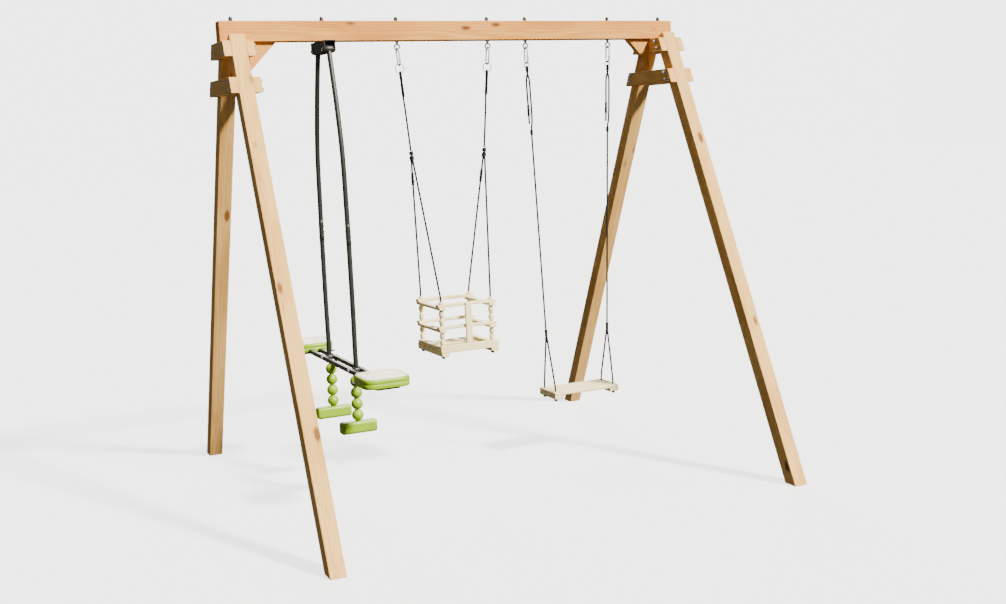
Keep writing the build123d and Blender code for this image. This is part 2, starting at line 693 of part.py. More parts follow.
# Glider arms
top_eye_half = bracket_inside - PIVOT_SIDE_GAP
low_eye_half = RAIL_HALF_GAP - PIVOT_SIDE_GAP
for arm_name, end, low_clearance in (
    ("glider_arm_front", FRONT, PIVOT_CLEARANCE),
    ("glider_arm_rear", BACK, LOOSE_PIVOT_CLEARANCE),
):
    arm_points = [(GLIDER_X, end * TOP_PIVOT_Y, TOP_PIVOT_Z)]
    for y, share in zip(ARM_BOW_WIDTHS, ARM_BOW_SHARES):
        arm_points.append((GLIDER_X, end * y, LOW_PIVOT_Z + share * ARM_HEIGHT))
    arm_points.append((GLIDER_X, end * LOW_PIVOT_Y, LOW_PIVOT_Z))
    arm = tube(Spline(*arm_points), ARM_RADIUS)
    x0 = GLIDER_X - top_eye_half
    x1 = GLIDER_X + top_eye_half
    arm += rod_x(x0, x1, end * TOP_PIVOT_Y, TOP_PIVOT_Z, TOP_EYE_RADIUS)
    arm -= rod_x(x0 - 1, x1 + 1, end * TOP_PIVOT_Y, TOP_PIVOT_Z, pin_hole)
    x0 = GLIDER_X - low_eye_half
    x1 = GLIDER_X + low_eye_half
    arm += rod_x(x0, x1, end * LOW_PIVOT_Y, LOW_PIVOT_Z, LOW_EYE_RADIUS)
    arm -= rod_x(x0 - 1, x1 + 1, end * LOW_PIVOT_Y, LOW_PIVOT_Z, BOLT_RADIUS + low_clearance)
    save(arm_name, arm)

# Glider seat frame
rails = []
low_pins = []
for side in (LEFT, RIGHT):
    x0 = GLIDER_X + side * RAIL_HALF_GAP
    x1 = x0 + side * RAIL_WIDTH
    rail = block(x0, x1, -SEAT_INNER_Y, SEAT_INNER_Y, RAIL_BOTTOM, RAIL_BOTTOM + RAIL_HEIGHT)
    for end in (FRONT, BACK):
        rail -= rod_x(x0 - side, x1 + side, end * LOW_PIVOT_Y, LOW_PIVOT_Z, pin_hole)
    rails.append(rail)
rail_outside = RAIL_HALF_GAP + RAIL_WIDTH
for end in (FRONT, BACK):
    origin = (GLIDER_X + rail_outside, end * LOW_PIVOT_Y, LOW_PIVOT_Z)
    shank = 2 * rail_outside + NUT_HEIGHT + 2
    low_pins.append(placed(hex_bolt(NUT_FLATS, NUT_HEIGHT - 2, shank), origin, (-1, 0, 0)))
    nut = hex_bar(NUT_FLATS, 0, NUT_HEIGHT) - rod_z(0, 0, -1, NUT_HEIGHT + 1, NUT_HOLE)
    low_pins.append(placed(nut, (GLIDER_X - rail_outside, end * LOW_PIVOT_Y, LOW_PIVOT_Z), (-1, 0, 0)))
save("glider_rails", *rails)
save("glider_lower_pins", *low_pins)

# Glider seats, their plates and screws
plate_bottom = SEAT_BOTTOM - PLATE_THICK
plates = []
seat_screws = []
for seat_name, end in (("glider_seat_front", FRONT), ("glider_seat_rear", BACK)):
    inner = end * SEAT_INNER_Y
    outer = end * (SEAT_INNER_Y + SEAT_LENGTH)
    wide = end * (SEAT_INNER_Y + 60)
    outline = Polygon(
        (GLIDER_X - SEAT_INNER_HALF_WIDTH, inner),
        (GLIDER_X + SEAT_INNER_HALF_WIDTH, inner),
        (GLIDER_X + SEAT_HALF_WIDTH, wide),
        (GLIDER_X + SEAT_HALF_WIDTH, outer),
        (GLIDER_X - SEAT_HALF_WIDTH, outer),
        (GLIDER_X - SEAT_HALF_WIDTH, wide),
        align=None,
    )
    corners = [point for point in outline.vertices() if abs(abs(point.Y) - abs(outer)) < 1]
    outline = fillet(corners, SEAT_CORNER_RADIUS)
    seat = Pos(0, 0, SEAT_BOTTOM) * extrude(outline, SEAT_THICK, dir=(0, 0, 1))
    seat = fillet(seat.edges().group_by(Axis.Z)[-1], SEAT_EDGE_RADIUS)
    plate_outline = Polygon(
        (GLIDER_X - PLATE_INNER_HALF, inner),
        (GLIDER_X + PLATE_INNER_HALF, inner),
        (GLIDER_X + PLATE_OUTER_HALF, end * (SEAT_INNER_Y + SEAT_LENGTH - 15)),
        (GLIDER_X - PLATE_OUTER_HALF, end * (SEAT_INNER_Y + SEAT_LENGTH - 15)),
        align=None,
    )
    plate = Pos(0, 0, plate_bottom) * extrude(plate_outline, PLATE_THICK, dir=(0, 0, 1))
    for side in (LEFT, RIGHT):
        for inset in SEAT_SCREW_INSETS:
            x = GLIDER_X + side * SEAT_SCREW_HALF_X
            y = end * (SEAT_INNER_Y + inset)
            hole = rod_z(x, y, plate_bottom - 1, SEAT_TOP + 1, SEAT_SCREW_RADIUS + NUT_CLEARANCE)
            seat -= hole
            plate -= hole
            screw = Pos(x, y, SEAT_TOP) * dome(SCREW_HEAD_RADIUS, SCREW_HEAD_HEIGHT)
            seat_screws.append(screw + rod_z(x, y, plate_bottom, SEAT_TOP + 0.5, SEAT_SCREW_RADIUS))
    plates.append(plate)
    save(seat_name, seat)
save("glider_seat_plates", *plates)
save("glider_seat_screws", *seat_screws)

# Glider footrests
posts = []
footbars = []
ball_low = FOOTBAR_TOP + BALL_RADIUS
ball_pitch = (BALL_TOP - BALL_RADIUS - ball_low) / (BALL_COUNT - 1)
for end in (FRONT, BACK):
    y = end * POST_Y
    flange_low = RAIL_BOTTOM - POST_FLANGE_THICK
    post = rod_z(GLIDER_X, y, FOOTBAR_TOP, flange_low + 1, POST_CORE_RADIUS)
    for index in range(BALL_COUNT):
        post += Pos(GLIDER_X, y, ball_low + index * ball_pitch) * Sphere(BALL_RADIUS)
    post += block(
        GLIDER_X - BALL_RADIUS,
        GLIDER_X + BALL_RADIUS,
        end * POST_FLANGE_NEAR,
        end * POST_FLANGE_FAR,
        flange_low,
        RAIL_BOTTOM,
    )
    post -= block(GLIDER_X - 40, GLIDER_X + 40, y - 40, y + 40, FOOTBAR_TOP - 10, FOOTBAR_TOP)
    posts.append(post)
    bar = block(
        GLIDER_X - FOOTBAR_LENGTH / 2,
        GLIDER_X + FOOTBAR_LENGTH / 2,
        y - FOOTBAR_WIDTH / 2,
        y + FOOTBAR_WIDTH / 2,
        FOOTBAR_TOP - FOOTBAR_HEIGHT,
        FOOTBAR_TOP,
    )
    footbars.append(fillet(bar.edges(), FOOTBAR_ROUND))
save("glider_footrest_posts", *posts)
save("glider_footrest_bars", *footbars)

# Carabiners, gates and rings of both swings
for swing, centre, hook_half, lean, ring_radius in (
    ("baby", BABY_CENTRE, BABY_HOOK_HALF, BABY_LEAN, BABY_RING_RADIUS),
    ("plank", PLANK_CENTRE, PLANK_HOOK_HALF, PLANK_LEAN, PLANK_RING_RADIUS),
):
    frames = [line_frame(centre, hook_half, side, lean) for side in (LEFT, RIGHT)]
    save(swing + "_carabiners", *[frame * carabiner_body() for frame in frames])
    save(swing + "_rings", *[frame * steel_ring(ring_radius) for frame in frames])
    save(swing + "_gate_left", frames[0] * gate_bar())
    save(swing + "_gate_right", frames[1] * gate_bar())

# Baby swing: hanging ropes, sleeves, knots and forked ropes
baby_ring_down = RING_TOP + 2 * BABY_RING_RADIUS
baby_tip_down = (HINGE_Z - BABY_TIP_HEIGHT) / math.cos(BABY_LEAN)
baby_rope_end = baby_tip_down - KNOT_TOP_RISE
baby_bore_end = BABY_BEARER_BOTTOM - 15
sleeve_low = BABY_SLEEVE_TOP + BABY_SLEEVE_LENGTH
loop_radii = [LOOP_RADIUS * 0.95] * 4
baby_fittings = []
baby_end_fittings = []
for side_name, side in (("left", LEFT), ("right", RIGHT)):
    places = [(-STRAND_DEPTH, sleeve_low + 4), (-STRAND_DEPTH, BABY_SLEEVE_TOP - 12)]
    places.append((-LOOP_RADIUS, baby_ring_down + 14))
    places += loop_points(baby_ring_down)
    places += [(LOOP_RADIUS, baby_ring_down + 14), (STRAND_DEPTH, BABY_SLEEVE_TOP - 12)]
    places += [(STRAND_DEPTH, sleeve_low + 12), (0, sleeve_low + 60), (0, baby_rope_end)]
    points = []
    for depth, down in places:
        points.append(line_point(BABY_CENTRE, BABY_HOOK_HALF, side, BABY_LEAN, 0, depth, down))
    radii = [60, 60] + loop_radii + [60, 60, 60, 60]
    save("baby_line_" + side_name, make_rope("baby_line_" + side_name, points, radii))
    frame = line_frame(BABY_CENTRE, BABY_HOOK_HALF, side, BABY_LEAN)
    outline = Rot(0, 0, 90) * SlotCenterToCenter(2 * STRAND_DEPTH, 2 * (ROPE_HOLE + SLEEVE_WALL))
    bore = Rot(0, 0, 90) * SlotCenterToCenter(2 * STRAND_DEPTH, 2 * ROPE_HOLE)
    sleeve = extrude(outline - bore, BABY_SLEEVE_LENGTH)
    baby_fittings.append(frame * (Pos(0, 0, -sleeve_low) * sleeve))
    knot = fork_body(BABY_CENTRE, BABY_HOOK_HALF, side, BABY_LEAN, BABY_TIP_HEIGHT, knot_lumps())
    baby_fittings.append(knot)
    cord = forked_rope(
        "baby_cord_" + side_name,
        BABY_CENTRE,
        BABY_HOOK_HALF,
        side,
        BABY_LEAN,
        BABY_SEAT_HALF,
        BABY_SEAT_HALF,
        BABY_TIP_HEIGHT,
        BABY_BEND_HEIGHT,
        baby_bore_end,
    )
    save("baby_cord_" + side_name, cord)
    angle = fork_angle(BABY_SEAT_HALF, BABY_TIP_HEIGHT, BABY_BEND_HEIGHT, BABY_LEAN)
    apex_down = baby_tip_down - FORK_RADIUS / math.sin(angle)
    ends = []
    for height in (CORD_SLEEVE_TOP, CORD_SLEEVE_TOP - CORD_SLEEVE_LENGTH):
        down = (HINGE_Z - height) / math.cos(BABY_LEAN)
        depth = (down - apex_down) * math.tan(angle)
        ends.append(line_point(BABY_CENTRE, BABY_HOOK_HALF, side, BABY_LEAN, 0, depth, down))
    cord_sleeve = rod(ends[0], ends[1], CORD_SLEEVE_RADIUS) - rod(ends[0], ends[1], ROPE_HOLE)
    baby_end_fittings.append(cord_sleeve)
save("baby_rope_fittings", *baby_fittings)
baby_corners = corner_places(BABY_CENTRE, BABY_SEAT_HALF, BABY_SEAT_HALF)
for x, y in baby_corners:
    baby_end_fittings.append(end_knot(x, y, BABY_BEARER_BOTTOM))
save("baby_end_fittings", *baby_end_fittings)

# Baby swing: rails, beads and base
rail_half = BABY_RAIL_LENGTH / 2
width_half = BABY_RAIL_WIDTH / 2
baby_rails = []
for top in (BABY_TOP_HEIGHT, BABY_MIDDLE_HEIGHT):
    step = top - BABY_RAIL_THICK
    for end in (FRONT, BACK):
        y = end * BABY_SEAT_HALF
        x0 = BABY_CENTRE - rail_half
        rail = block(x0, x0 + BABY_RAIL_LENGTH, y - width_half, y + width_half, step, top)
        baby_rails.append(drilled(rail, baby_corners, ROPE_HOLE))
    for side in (LEFT, RIGHT):
        x = BABY_CENTRE + side * BABY_SEAT_HALF
        rail = block(x - width_half, x + width_half, -rail_half, rail_half, step - BABY_RAIL_THICK, step)
        baby_rails.append(drilled(rail, baby_corners, ROPE_HOLE))
save("baby_rails", *baby_rails)
beads = []
for x, y in baby_corners:
    beads.append(bead(x, y, BABY_TOP_HEIGHT, BABY_TOP_HEIGHT + TOP_BEAD_HEIGHT))
    for low, high in (
        (BABY_MIDDLE_HEIGHT, BABY_TOP_HEIGHT - BABY_RAIL_STACK),
        (BABY_BASE_HEIGHT, BABY_MIDDLE_HEIGHT - BABY_RAIL_STACK),
    ):
        beads.append(bead(x, y, low, (low + high) / 2))
        beads.append(bead(x, y, (low + high) / 2, high))
save("baby_beads", *beads)
base_parts = []
bearer_front = -(BABY_SEAT_HALF + BABY_BEARER_REACH)
for side in (LEFT, RIGHT):
    x = BABY_CENTRE + side * BABY_SEAT_HALF
    half = BABY_BEARER_WIDTH / 2
    bearer = block(x - half, x + half, bearer_front, rail_half, BABY_BEARER_BOTTOM, BABY_SLAT_BOTTOM)
    base_parts.append(drilled(bearer, baby_corners, ROPE_HOLE))
    low = BABY_BASE_HEIGHT - BABY_RAIL_THICK
    board = block(x - width_half, x + width_half, -BABY_FRONT_Y, BABY_FRONT_Y, low, BABY_BASE_HEIGHT)
    base_parts.append(drilled(board, baby_corners, ROPE_HOLE))
slat_pitch = 2 * BABY_SEAT_HALF / (BABY_SLAT_COUNT - 1)
for index in range(BABY_SLAT_COUNT):
    y = -BABY_SEAT_HALF + index * slat_pitch
    slat_top = BABY_SLAT_BOTTOM + BABY_RAIL_THICK
    x0 = BABY_CENTRE - rail_half
    x1 = BABY_CENTRE + rail_half
    slat = block(x0, x1, y - width_half, y + width_half, BABY_SLAT_BOTTOM, slat_top)
    base_parts.append(drilled(slat, baby_corners, ROPE_HOLE))
fascia_back = -BABY_FRONT_Y
fascia_front = fascia_back - BABY_RAIL_THICK
fascia_top = BABY_SLAT_BOTTOM + BABY_FASCIA_HEIGHT
x0 = BABY_CENTRE - rail_half
x1 = BABY_CENTRE + rail_half
base_parts.append(block(x0, x1, fascia_front, fascia_back, BABY_SLAT_BOTTOM, fascia_top))
x0 = BABY_CENTRE - BABY_POST_WIDTH / 2
x1 = BABY_CENTRE + BABY_POST_WIDTH / 2
base_parts.append(block(x0, x1, fascia_front, fascia_back, fascia_top, BABY_TOP_HEIGHT))
save("baby_base", *base_parts)

# Plank swing: hanging ropes, adjusters, clamps and forked ropes
plank_ring_down = RING_TOP + 2 * PLANK_RING_RADIUS
plank_tip_down = (HINGE_Z - PLANK_TIP_HEIGHT) / math.cos(PLANK_LEAN)
plank_rope_end = plank_tip_down - CLAMP_RISE
plank_fittings = []
for side_name, side in (("left", LEFT), ("right", RIGHT)):
    places = [(-STRAND_HALF, 0, TAIL_END), (-STRAND_HALF, 0, plank_ring_down + 62)]
    places.append((0, -LOOP_RADIUS, plank_ring_down + 22))
    places += [(0, depth, down) for depth, down in loop_points(plank_ring_down)]
    places.append((0, LOOP_RADIUS, plank_ring_down + 22))
    places += [(STRAND_HALF, 0, plank_ring_down + 62), (STRAND_HALF, 0, JOIN_START)]
    places += [(0, 0, JOIN_END), (0, 0, plank_rope_end)]
    points = []
    for across, depth, down in places:
        points.append(line_point(PLANK_CENTRE, PLANK_HOOK_HALF, side, PLANK_LEAN, across, depth, down))
    radii = [60, 40] + loop_radii + [40, 60, 50, 50]
    save("plank_line_" + side_name, make_rope("plank_line_" + side_name, points, radii))
    frame = line_frame(PLANK_CENTRE, PLANK_HOOK_HALF, side, PLANK_LEAN)
    turn = SLIDER_LENGTH / SLIDER_TURNS
    slider = rod_z(-STRAND_HALF, 0, -SLIDER_TOP - SLIDER_LENGTH, -SLIDER_TOP, SLIDER_RADIUS - 1)
    for index in range(SLIDER_TURNS):
        low = -SLIDER_TOP - SLIDER_LENGTH + index * turn + 1.5
        slider += rod_z(-STRAND_HALF, 0, low, low + turn - 3, SLIDER_RADIUS)
    bore_low = -SLIDER_TOP - SLIDER_LENGTH - 1
    slider -= rod_z(-STRAND_HALF, 0, bore_low, 1 - SLIDER_TOP, ROPE_HOLE)
    plank_fittings.append(frame * slider)
    ferrule_low = -FERRULE_TOP - FERRULE_LENGTH
    ferrule = rod_z(0, 0, ferrule_low, -FERRULE_TOP, CLAMP_RADIUS)
    ferrule -= rod_z(0, 0, ferrule_low - 1, 1 - FERRULE_TOP, ROPE_HOLE)
    plank_fittings.append(frame * ferrule)
    clamp = fork_body(PLANK_CENTRE, PLANK_HOOK_HALF, side, PLANK_LEAN, PLANK_TIP_HEIGHT, clamp_lumps())
    plank_fittings.append(clamp)
    cord = forked_rope(
        "plank_cord_" + side_name,
        PLANK_CENTRE,
        PLANK_HOOK_HALF,
        side,
        PLANK_LEAN,
        PLANK_HOLE_HALF_X,
        PLANK_HOLE_HALF_Y,
        PLANK_TIP_HEIGHT,
        PLANK_BEND_HEIGHT,
        PLANK_BATTEN_BOTTOM - 15,
    )
    save("plank_cord_" + side_name, cord)
save("plank_rope_fittings", *plank_fittings)

# Plank swing: seat, battens and rope end knots
plank_corners = corner_places(PLANK_CENTRE, PLANK_HOLE_HALF_X, PLANK_HOLE_HALF_Y)
x0 = PLANK_CENTRE - PLANK_LENGTH / 2
x1 = PLANK_CENTRE + PLANK_LENGTH / 2
seat_low = PLANK_SEAT_TOP - PLANK_THICK
plank = block(x0, x1, -PLANK_WIDTH / 2, PLANK_WIDTH / 2, seat_low, PLANK_SEAT_TOP)
save("plank_seat", drilled(plank, plank_corners, ROPE_HOLE))
battens = []
for side in (LEFT, RIGHT):
    far = PLANK_CENTRE + side * PLANK_LENGTH / 2
    near = far - side * BATTEN_WIDTH
    batten = block(near, far, -PLANK_WIDTH / 2, PLANK_WIDTH / 2, PLANK_BATTEN_BOTTOM, seat_low)
    battens.append(drilled(batten, plank_corners, ROPE_HOLE))
save("plank_battens", *battens)
save("plank_end_knots", *[end_knot(x, y, PLANK_BATTEN_BOTTOM) for x, y in plank_corners])
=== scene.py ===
"""Looks of the garden swing set, in metres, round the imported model.

X runs along the beam, -Y is the front, Z is up. Left is -X and right is +X.
"""
import math

import bmesh
import bpy
import numpy as np
from mathutils import Matrix, Vector


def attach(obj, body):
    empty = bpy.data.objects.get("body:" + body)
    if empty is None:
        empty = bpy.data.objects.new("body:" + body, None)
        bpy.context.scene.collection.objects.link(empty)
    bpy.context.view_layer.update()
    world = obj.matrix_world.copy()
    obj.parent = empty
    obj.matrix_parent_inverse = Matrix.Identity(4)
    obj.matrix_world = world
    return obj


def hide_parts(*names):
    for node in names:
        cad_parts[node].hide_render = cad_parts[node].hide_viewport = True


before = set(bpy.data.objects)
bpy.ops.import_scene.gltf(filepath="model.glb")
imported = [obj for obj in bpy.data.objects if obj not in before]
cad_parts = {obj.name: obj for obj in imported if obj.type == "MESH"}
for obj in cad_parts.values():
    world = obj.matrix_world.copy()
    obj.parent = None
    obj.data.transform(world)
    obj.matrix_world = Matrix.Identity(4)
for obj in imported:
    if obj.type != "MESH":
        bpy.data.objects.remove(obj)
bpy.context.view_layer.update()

# ---------------------------------------------------------------- camera

CAMERA_PLACE = Vector((-2.768, -6.292, 1.9255))
CAMERA_RIGHT = Vector((0.902037, -0.429569, -0.042423))
CAMERA_FORWARD = Vector((0.42068, 0.896864, -0.136613))


def make_camera():
    """Camera given by where it stands, which way is right and which way it looks."""
    data = bpy.data.cameras.new("camera")
    data.sensor_width = 36
    data.lens = 43.52
    data.shift_y = -0.0023
    forward = CAMERA_FORWARD.normalized()
    right = (CAMERA_RIGHT - forward * CAMERA_RIGHT.dot(forward)).normalized()
    up = right.cross(forward)
    turn = Matrix((right, up, -forward)).transposed().to_4x4()
    camera = bpy.data.objects.new("camera", data)
    camera.matrix_world = Matrix.Translation(CAMERA_PLACE) @ turn
    bpy.context.scene.collection.objects.link(camera)
    bpy.context.scene.camera = camera


make_camera()

# ---------------------------------------------------------------- materials


def rgb(red, green, blue):
    """Display colour from 0 to 255, turned into linear light.

    A dark share of full light is divided by 12.92; a brighter one is raised by 0.055, divided
    by 1.055 and taken to the power 2.4.
    """
    shares = [value / 255 for value in (red, green, blue)]
    light = [v / 12.92 if v < 0.04045 else ((v + 0.055) / 1.055) ** 2.4 for v in shares]
    return (*light, 1.0)


class Val:
    """A value inside a material; arithmetic on it makes Math nodes."""

    def __init__(self, tree, out):
        self.tree = tree
        self.out = out

    def op(self, kind, *others):
        """Math node of one kind, with this value as its first input."""
        node = self.tree.nodes.new("ShaderNodeMath")
        node.operation = kind
        for index, value in enumerate((self,) + others):
            feed(self.tree, node.inputs[index], value)
        return Val(self.tree, node.outputs[0])

    def __add__(self, other):
        return self.op("ADD", other)

    def __sub__(self, other):
        return self.op("SUBTRACT", other)

    def __mul__(self, other):
        return self.op("MULTIPLY", other)

    def step(self, low, high):
        """Smooth rise from 0 at low to 1 at high, or a fall where low is the larger."""
        node = self.tree.nodes.new("ShaderNodeMapRange")
        node.interpolation_type = "SMOOTHSTEP"
        feed(self.tree, node.inputs["Value"], self)
        node.inputs["From Min"].default_value = min(low, high)
        node.inputs["From Max"].default_value = max(low, high)
        node.inputs["To Min"].default_value = 0.0 if low < high else 1.0
        node.inputs["To Max"].default_value = 1.0 if low < high else 0.0
        return Val(self.tree, node.outputs["Result"])


def feed(tree, socket, value):
    """Link a value, or set a constant."""
    if isinstance(value, Val):
        tree.links.new(value.out, socket)
    else:
        socket.default_value = value


class Paint:
    """A material under construction, with its own node tree."""

    def __init__(self, name, roughness=0.5, metallic=0.0, specular=0.5):
        self.material = bpy.data.materials.new(name)
        self.material.use_nodes = True
        self.tree = self.material.node_tree
        self.shader = self.tree.nodes["Principled BSDF"]
        self.shader.inputs["Roughness"].default_value = roughness
        self.shader.inputs["Metallic"].default_value = metallic
        self.shader.inputs["Specular IOR Level"].default_value = specular

    def attribute(self, name):
        """The three parts of a vector stored on the mesh."""
        node = self.tree.nodes.new("ShaderNodeAttribute")
        node.attribute_name = name
        return self.parts(Val(self.tree, node.outputs["Vector"]))

    def place(self):
        """The place on the object."""
        node = self.tree.nodes.new("ShaderNodeTexCoord")
        return Val(self.tree, node.outputs["Object"])

    def parts(self, vector):
        """Three numbers from a vector."""
        node = self.tree.nodes.new("ShaderNodeSeparateXYZ")
        feed(self.tree, node.inputs[0], vector)
        return [Val(self.tree, out) for out in node.outputs]

    def vector(self, x, y, z):
        """Vector from three numbers."""
        node = self.tree.nodes.new("ShaderNodeCombineXYZ")
        for socket, value in zip(node.inputs, (x, y, z)):
            feed(self.tree, socket, value)
        return Val(self.tree, node.outputs[0])

    def noise(self, vector, scale=1.0, detail=2.0, rough=0.5):
        """Cloudy noise from 0 to 1."""
        node = self.tree.nodes.new("ShaderNodeTexNoise")
        feed(self.tree, node.inputs["Vector"], vector)
        node.inputs["Scale"].default_value = scale
        node.inputs["Detail"].default_value = detail
        node.inputs["Roughness"].default_value = rough
        return Val(self.tree, node.outputs["Fac"])

    def cells(self, vector, scale):
        """Distance to the nearest of many scattered points."""
        node = self.tree.nodes.new("ShaderNodeTexVoronoi")
        feed(self.tree, node.inputs["Vector"], vector)
        node.inputs["Scale"].default_value = scale
        return Val(self.tree, node.outputs["Distance"])

    def mix(self, share, first, second):
        """Colour between two colours."""
        node = self.tree.nodes.new("ShaderNodeMix")
        node.data_type = "RGBA"
        feed(self.tree, node.inputs[0], share)
        feed(self.tree, node.inputs[6], first)
        feed(self.tree, node.inputs[7], second)
        return Val(self.tree, node.outputs[2])

    def bump(self, height, distance, strength):
        """Relief from a height."""
        node = self.tree.nodes.new("ShaderNodeBump")
        node.inputs["Strength"].default_value = strength
        node.inputs["Distance"].default_value = distance
        feed(self.tree, node.inputs["Height"], height)
        self.tree.links.new(node.outputs["Normal"], self.shader.inputs["Normal"])

    def finish(self, colour, roughness=None):
        """Colour and roughness into the shader."""
        feed(self.tree, self.shader.inputs["Base Color"], colour)
        if roughness is not None:
            feed(self.tree, self.shader.inputs["Roughness"], roughness)
        return self.material


def wood(name, pale, mid, dark, knot, knot_share, ring):
    """Sawn pine: growth rings round a wandering pith, long fibres, drying cracks darkened with painted
    shade, and knots.

    The rings are a sine of the distance from the pith, which cloudy noise and the nearest
    knot push out a little. The fibres are noise stretched along the grain.
    """
    paint = Paint(name, roughness=0.62, specular=0.12)
    x, y, z = paint.attribute("grain")
    drift = paint.noise(paint.vector(x * 0.9, y * 3.0, z * 3.0), 1.0, 2.0)
    knots = paint.cells(paint.vector(x * 3.6, y * 8.5, z * 8.5), 1.0)
    pull = knots.step(0.34, 0.05)
    radius = (y * y + z * z).op("SQRT") + drift * 0.05 + pull * 0.006
    rings = (radius * 760.0).op("SINE") * 0.5 + 0.5
    fibre = paint.noise(paint.vector(x * 7.0, y * 260.0, z * 260.0), 1.0, 3.0, 0.6)
    cloud = paint.noise(paint.vector(x * 2.2, y * 9.0, z * 9.0), 1.0, 3.0, 0.55)
    colour = paint.mix(rings * ring * (fibre * 0.6 + 0.5), pale, mid)
    colour = paint.mix(cloud.step(0.42, 0.72) * 0.55, colour, mid)
    colour = paint.mix(fibre.step(0.56, 0.78) * 0.45, colour, dark)
    crack = paint.noise(paint.vector(x * 2.4, y * 95.0, z * 95.0), 1.0, 1.0)
    split = (crack - 0.5).op("ABSOLUTE").step(0.012, 0.002)
    split = split * paint.noise(paint.vector(x * 3.0, y * 20.0, z * 20.0)).step(0.55, 0.65)
    # Painted shade: the cracks are darkened towards the dark colour, for the shade inside the gap.
    colour = paint.mix(split * 0.7, colour, dark)
    colour = paint.mix(knots.step(0.17, 0.08) * knot_share, colour, knot)
    colour = paint.mix(knots.step(0.07, 0.03) * knot_share * 0.6, colour, dark)
    height = rings * 0.25 + fibre * 0.6 - split * 1.5
    paint.bump(height, 0.0012, 0.55)
    return paint.finish(colour, fibre * 0.25 + 0.52)


def metal(name, colour, dull, rough, metallic=1.0, grain=900.0):
    """Plated or painted steel: fine mottling, dull patches and slightly uneven shine."""
    paint = Paint(name, metallic=metallic)
    place = paint.place()
    spot = paint.noise(place, grain, 2.0)
    patch = paint.noise(place, grain / 14, 3.0, 0.6)
    mixed = paint.mix(patch.step(0.35, 0.7) * 0.7, colour, dull)
    paint.bump(spot, 0.0002, 0.12)
    return paint.finish(mixed, patch * 0.25 + spot * 0.1 + rough)


def plastic(name, colour, worn, rough):
    """Moulded plastic: fine pebbled grain, a slight change of tone and soft shine."""
    paint = Paint(name)
    place = paint.place()
    pebble = paint.cells(place, 2600.0 / 3)
    tone = paint.noise(place, 14.0, 3.0, 0.6)
    paint.bump(pebble, 0.0004, 0.4)
    return paint.finish(paint.mix(tone.step(0.3, 0.75) * 0.6, colour, worn), tone * 0.12 + rough)


def cordage(name, high, low, rough):
    """Braided rope: painted shade darkens the hollows between the strands, following the relief stored
    on the mesh.
    """
    paint = Paint(name, roughness=rough, specular=0.35)
    relief, along, around = paint.attribute("braid")
    fibre = paint.noise(paint.vector(along * 2400.0, around * 9.0, relief * 2.0), 1.0, 2.0)
    paint.bump(fibre, 0.0004, 0.4)
    # Painted shade: where the relief is low, in the hollows, the colour goes to low; the strand tops
    # take high.
    return paint.finish(paint.mix(relief * (fibre * 0.6 + 0.5), low, high), fibre * 0.2 + rough)


BEAM_WOOD = wood(
    "beam_wood", rgb(218, 156, 76), rgb(184, 112, 42), rgb(128, 70, 24), rgb(92, 44, 18), 0.9, 0.6
)
LEG_WOOD = wood(
    "leg_wood", rgb(226, 182, 108), rgb(194, 136, 62), rgb(130, 80, 30), rgb(96, 50, 20), 0.85, 0.55
)
PALE_WOOD = wood(
    "pale_wood", rgb(246, 232, 182), rgb(234, 210, 146), rgb(206, 170, 96), rgb(180, 126, 60), 0.35, 0.4
)
ZINC = metal("zinc", rgb(206, 208, 202), rgb(160, 162, 156), 0.34)
DARK_STEEL = metal("dark_steel", rgb(84, 84, 80), rgb(50, 50, 48), 0.3)
BLACK_METAL = metal("black_metal", rgb(38, 38, 35), rgb(22, 22, 20), 0.28, 0.0, 500.0)
# Rope colours: the strands, then the painted shade of the hollows; pieces without the braid relief take
# the second colour throughout.
ROPE = cordage("rope", rgb(26, 26, 25), rgb(5, 5, 5), 0.6)
LIME = plastic("lime_plastic", rgb(132, 170, 0), rgb(118, 158, 0), 0.34)
CREAM = plastic("seat_plastic", rgb(240, 236, 208), rgb(228, 222, 186), 0.4)
BLACK_PLASTIC = plastic("black_plastic", rgb(34, 34, 32), rgb(22, 22, 20), 0.45)
# Colour of a thin dark line drawn across the plank's top between each pair of rope holes.
THIN_DARK_LINE = plastic("dark_line", rgb(96, 88, 70), rgb(80, 72, 56), 0.6)


# ---------------------------------------------------------------- meshes


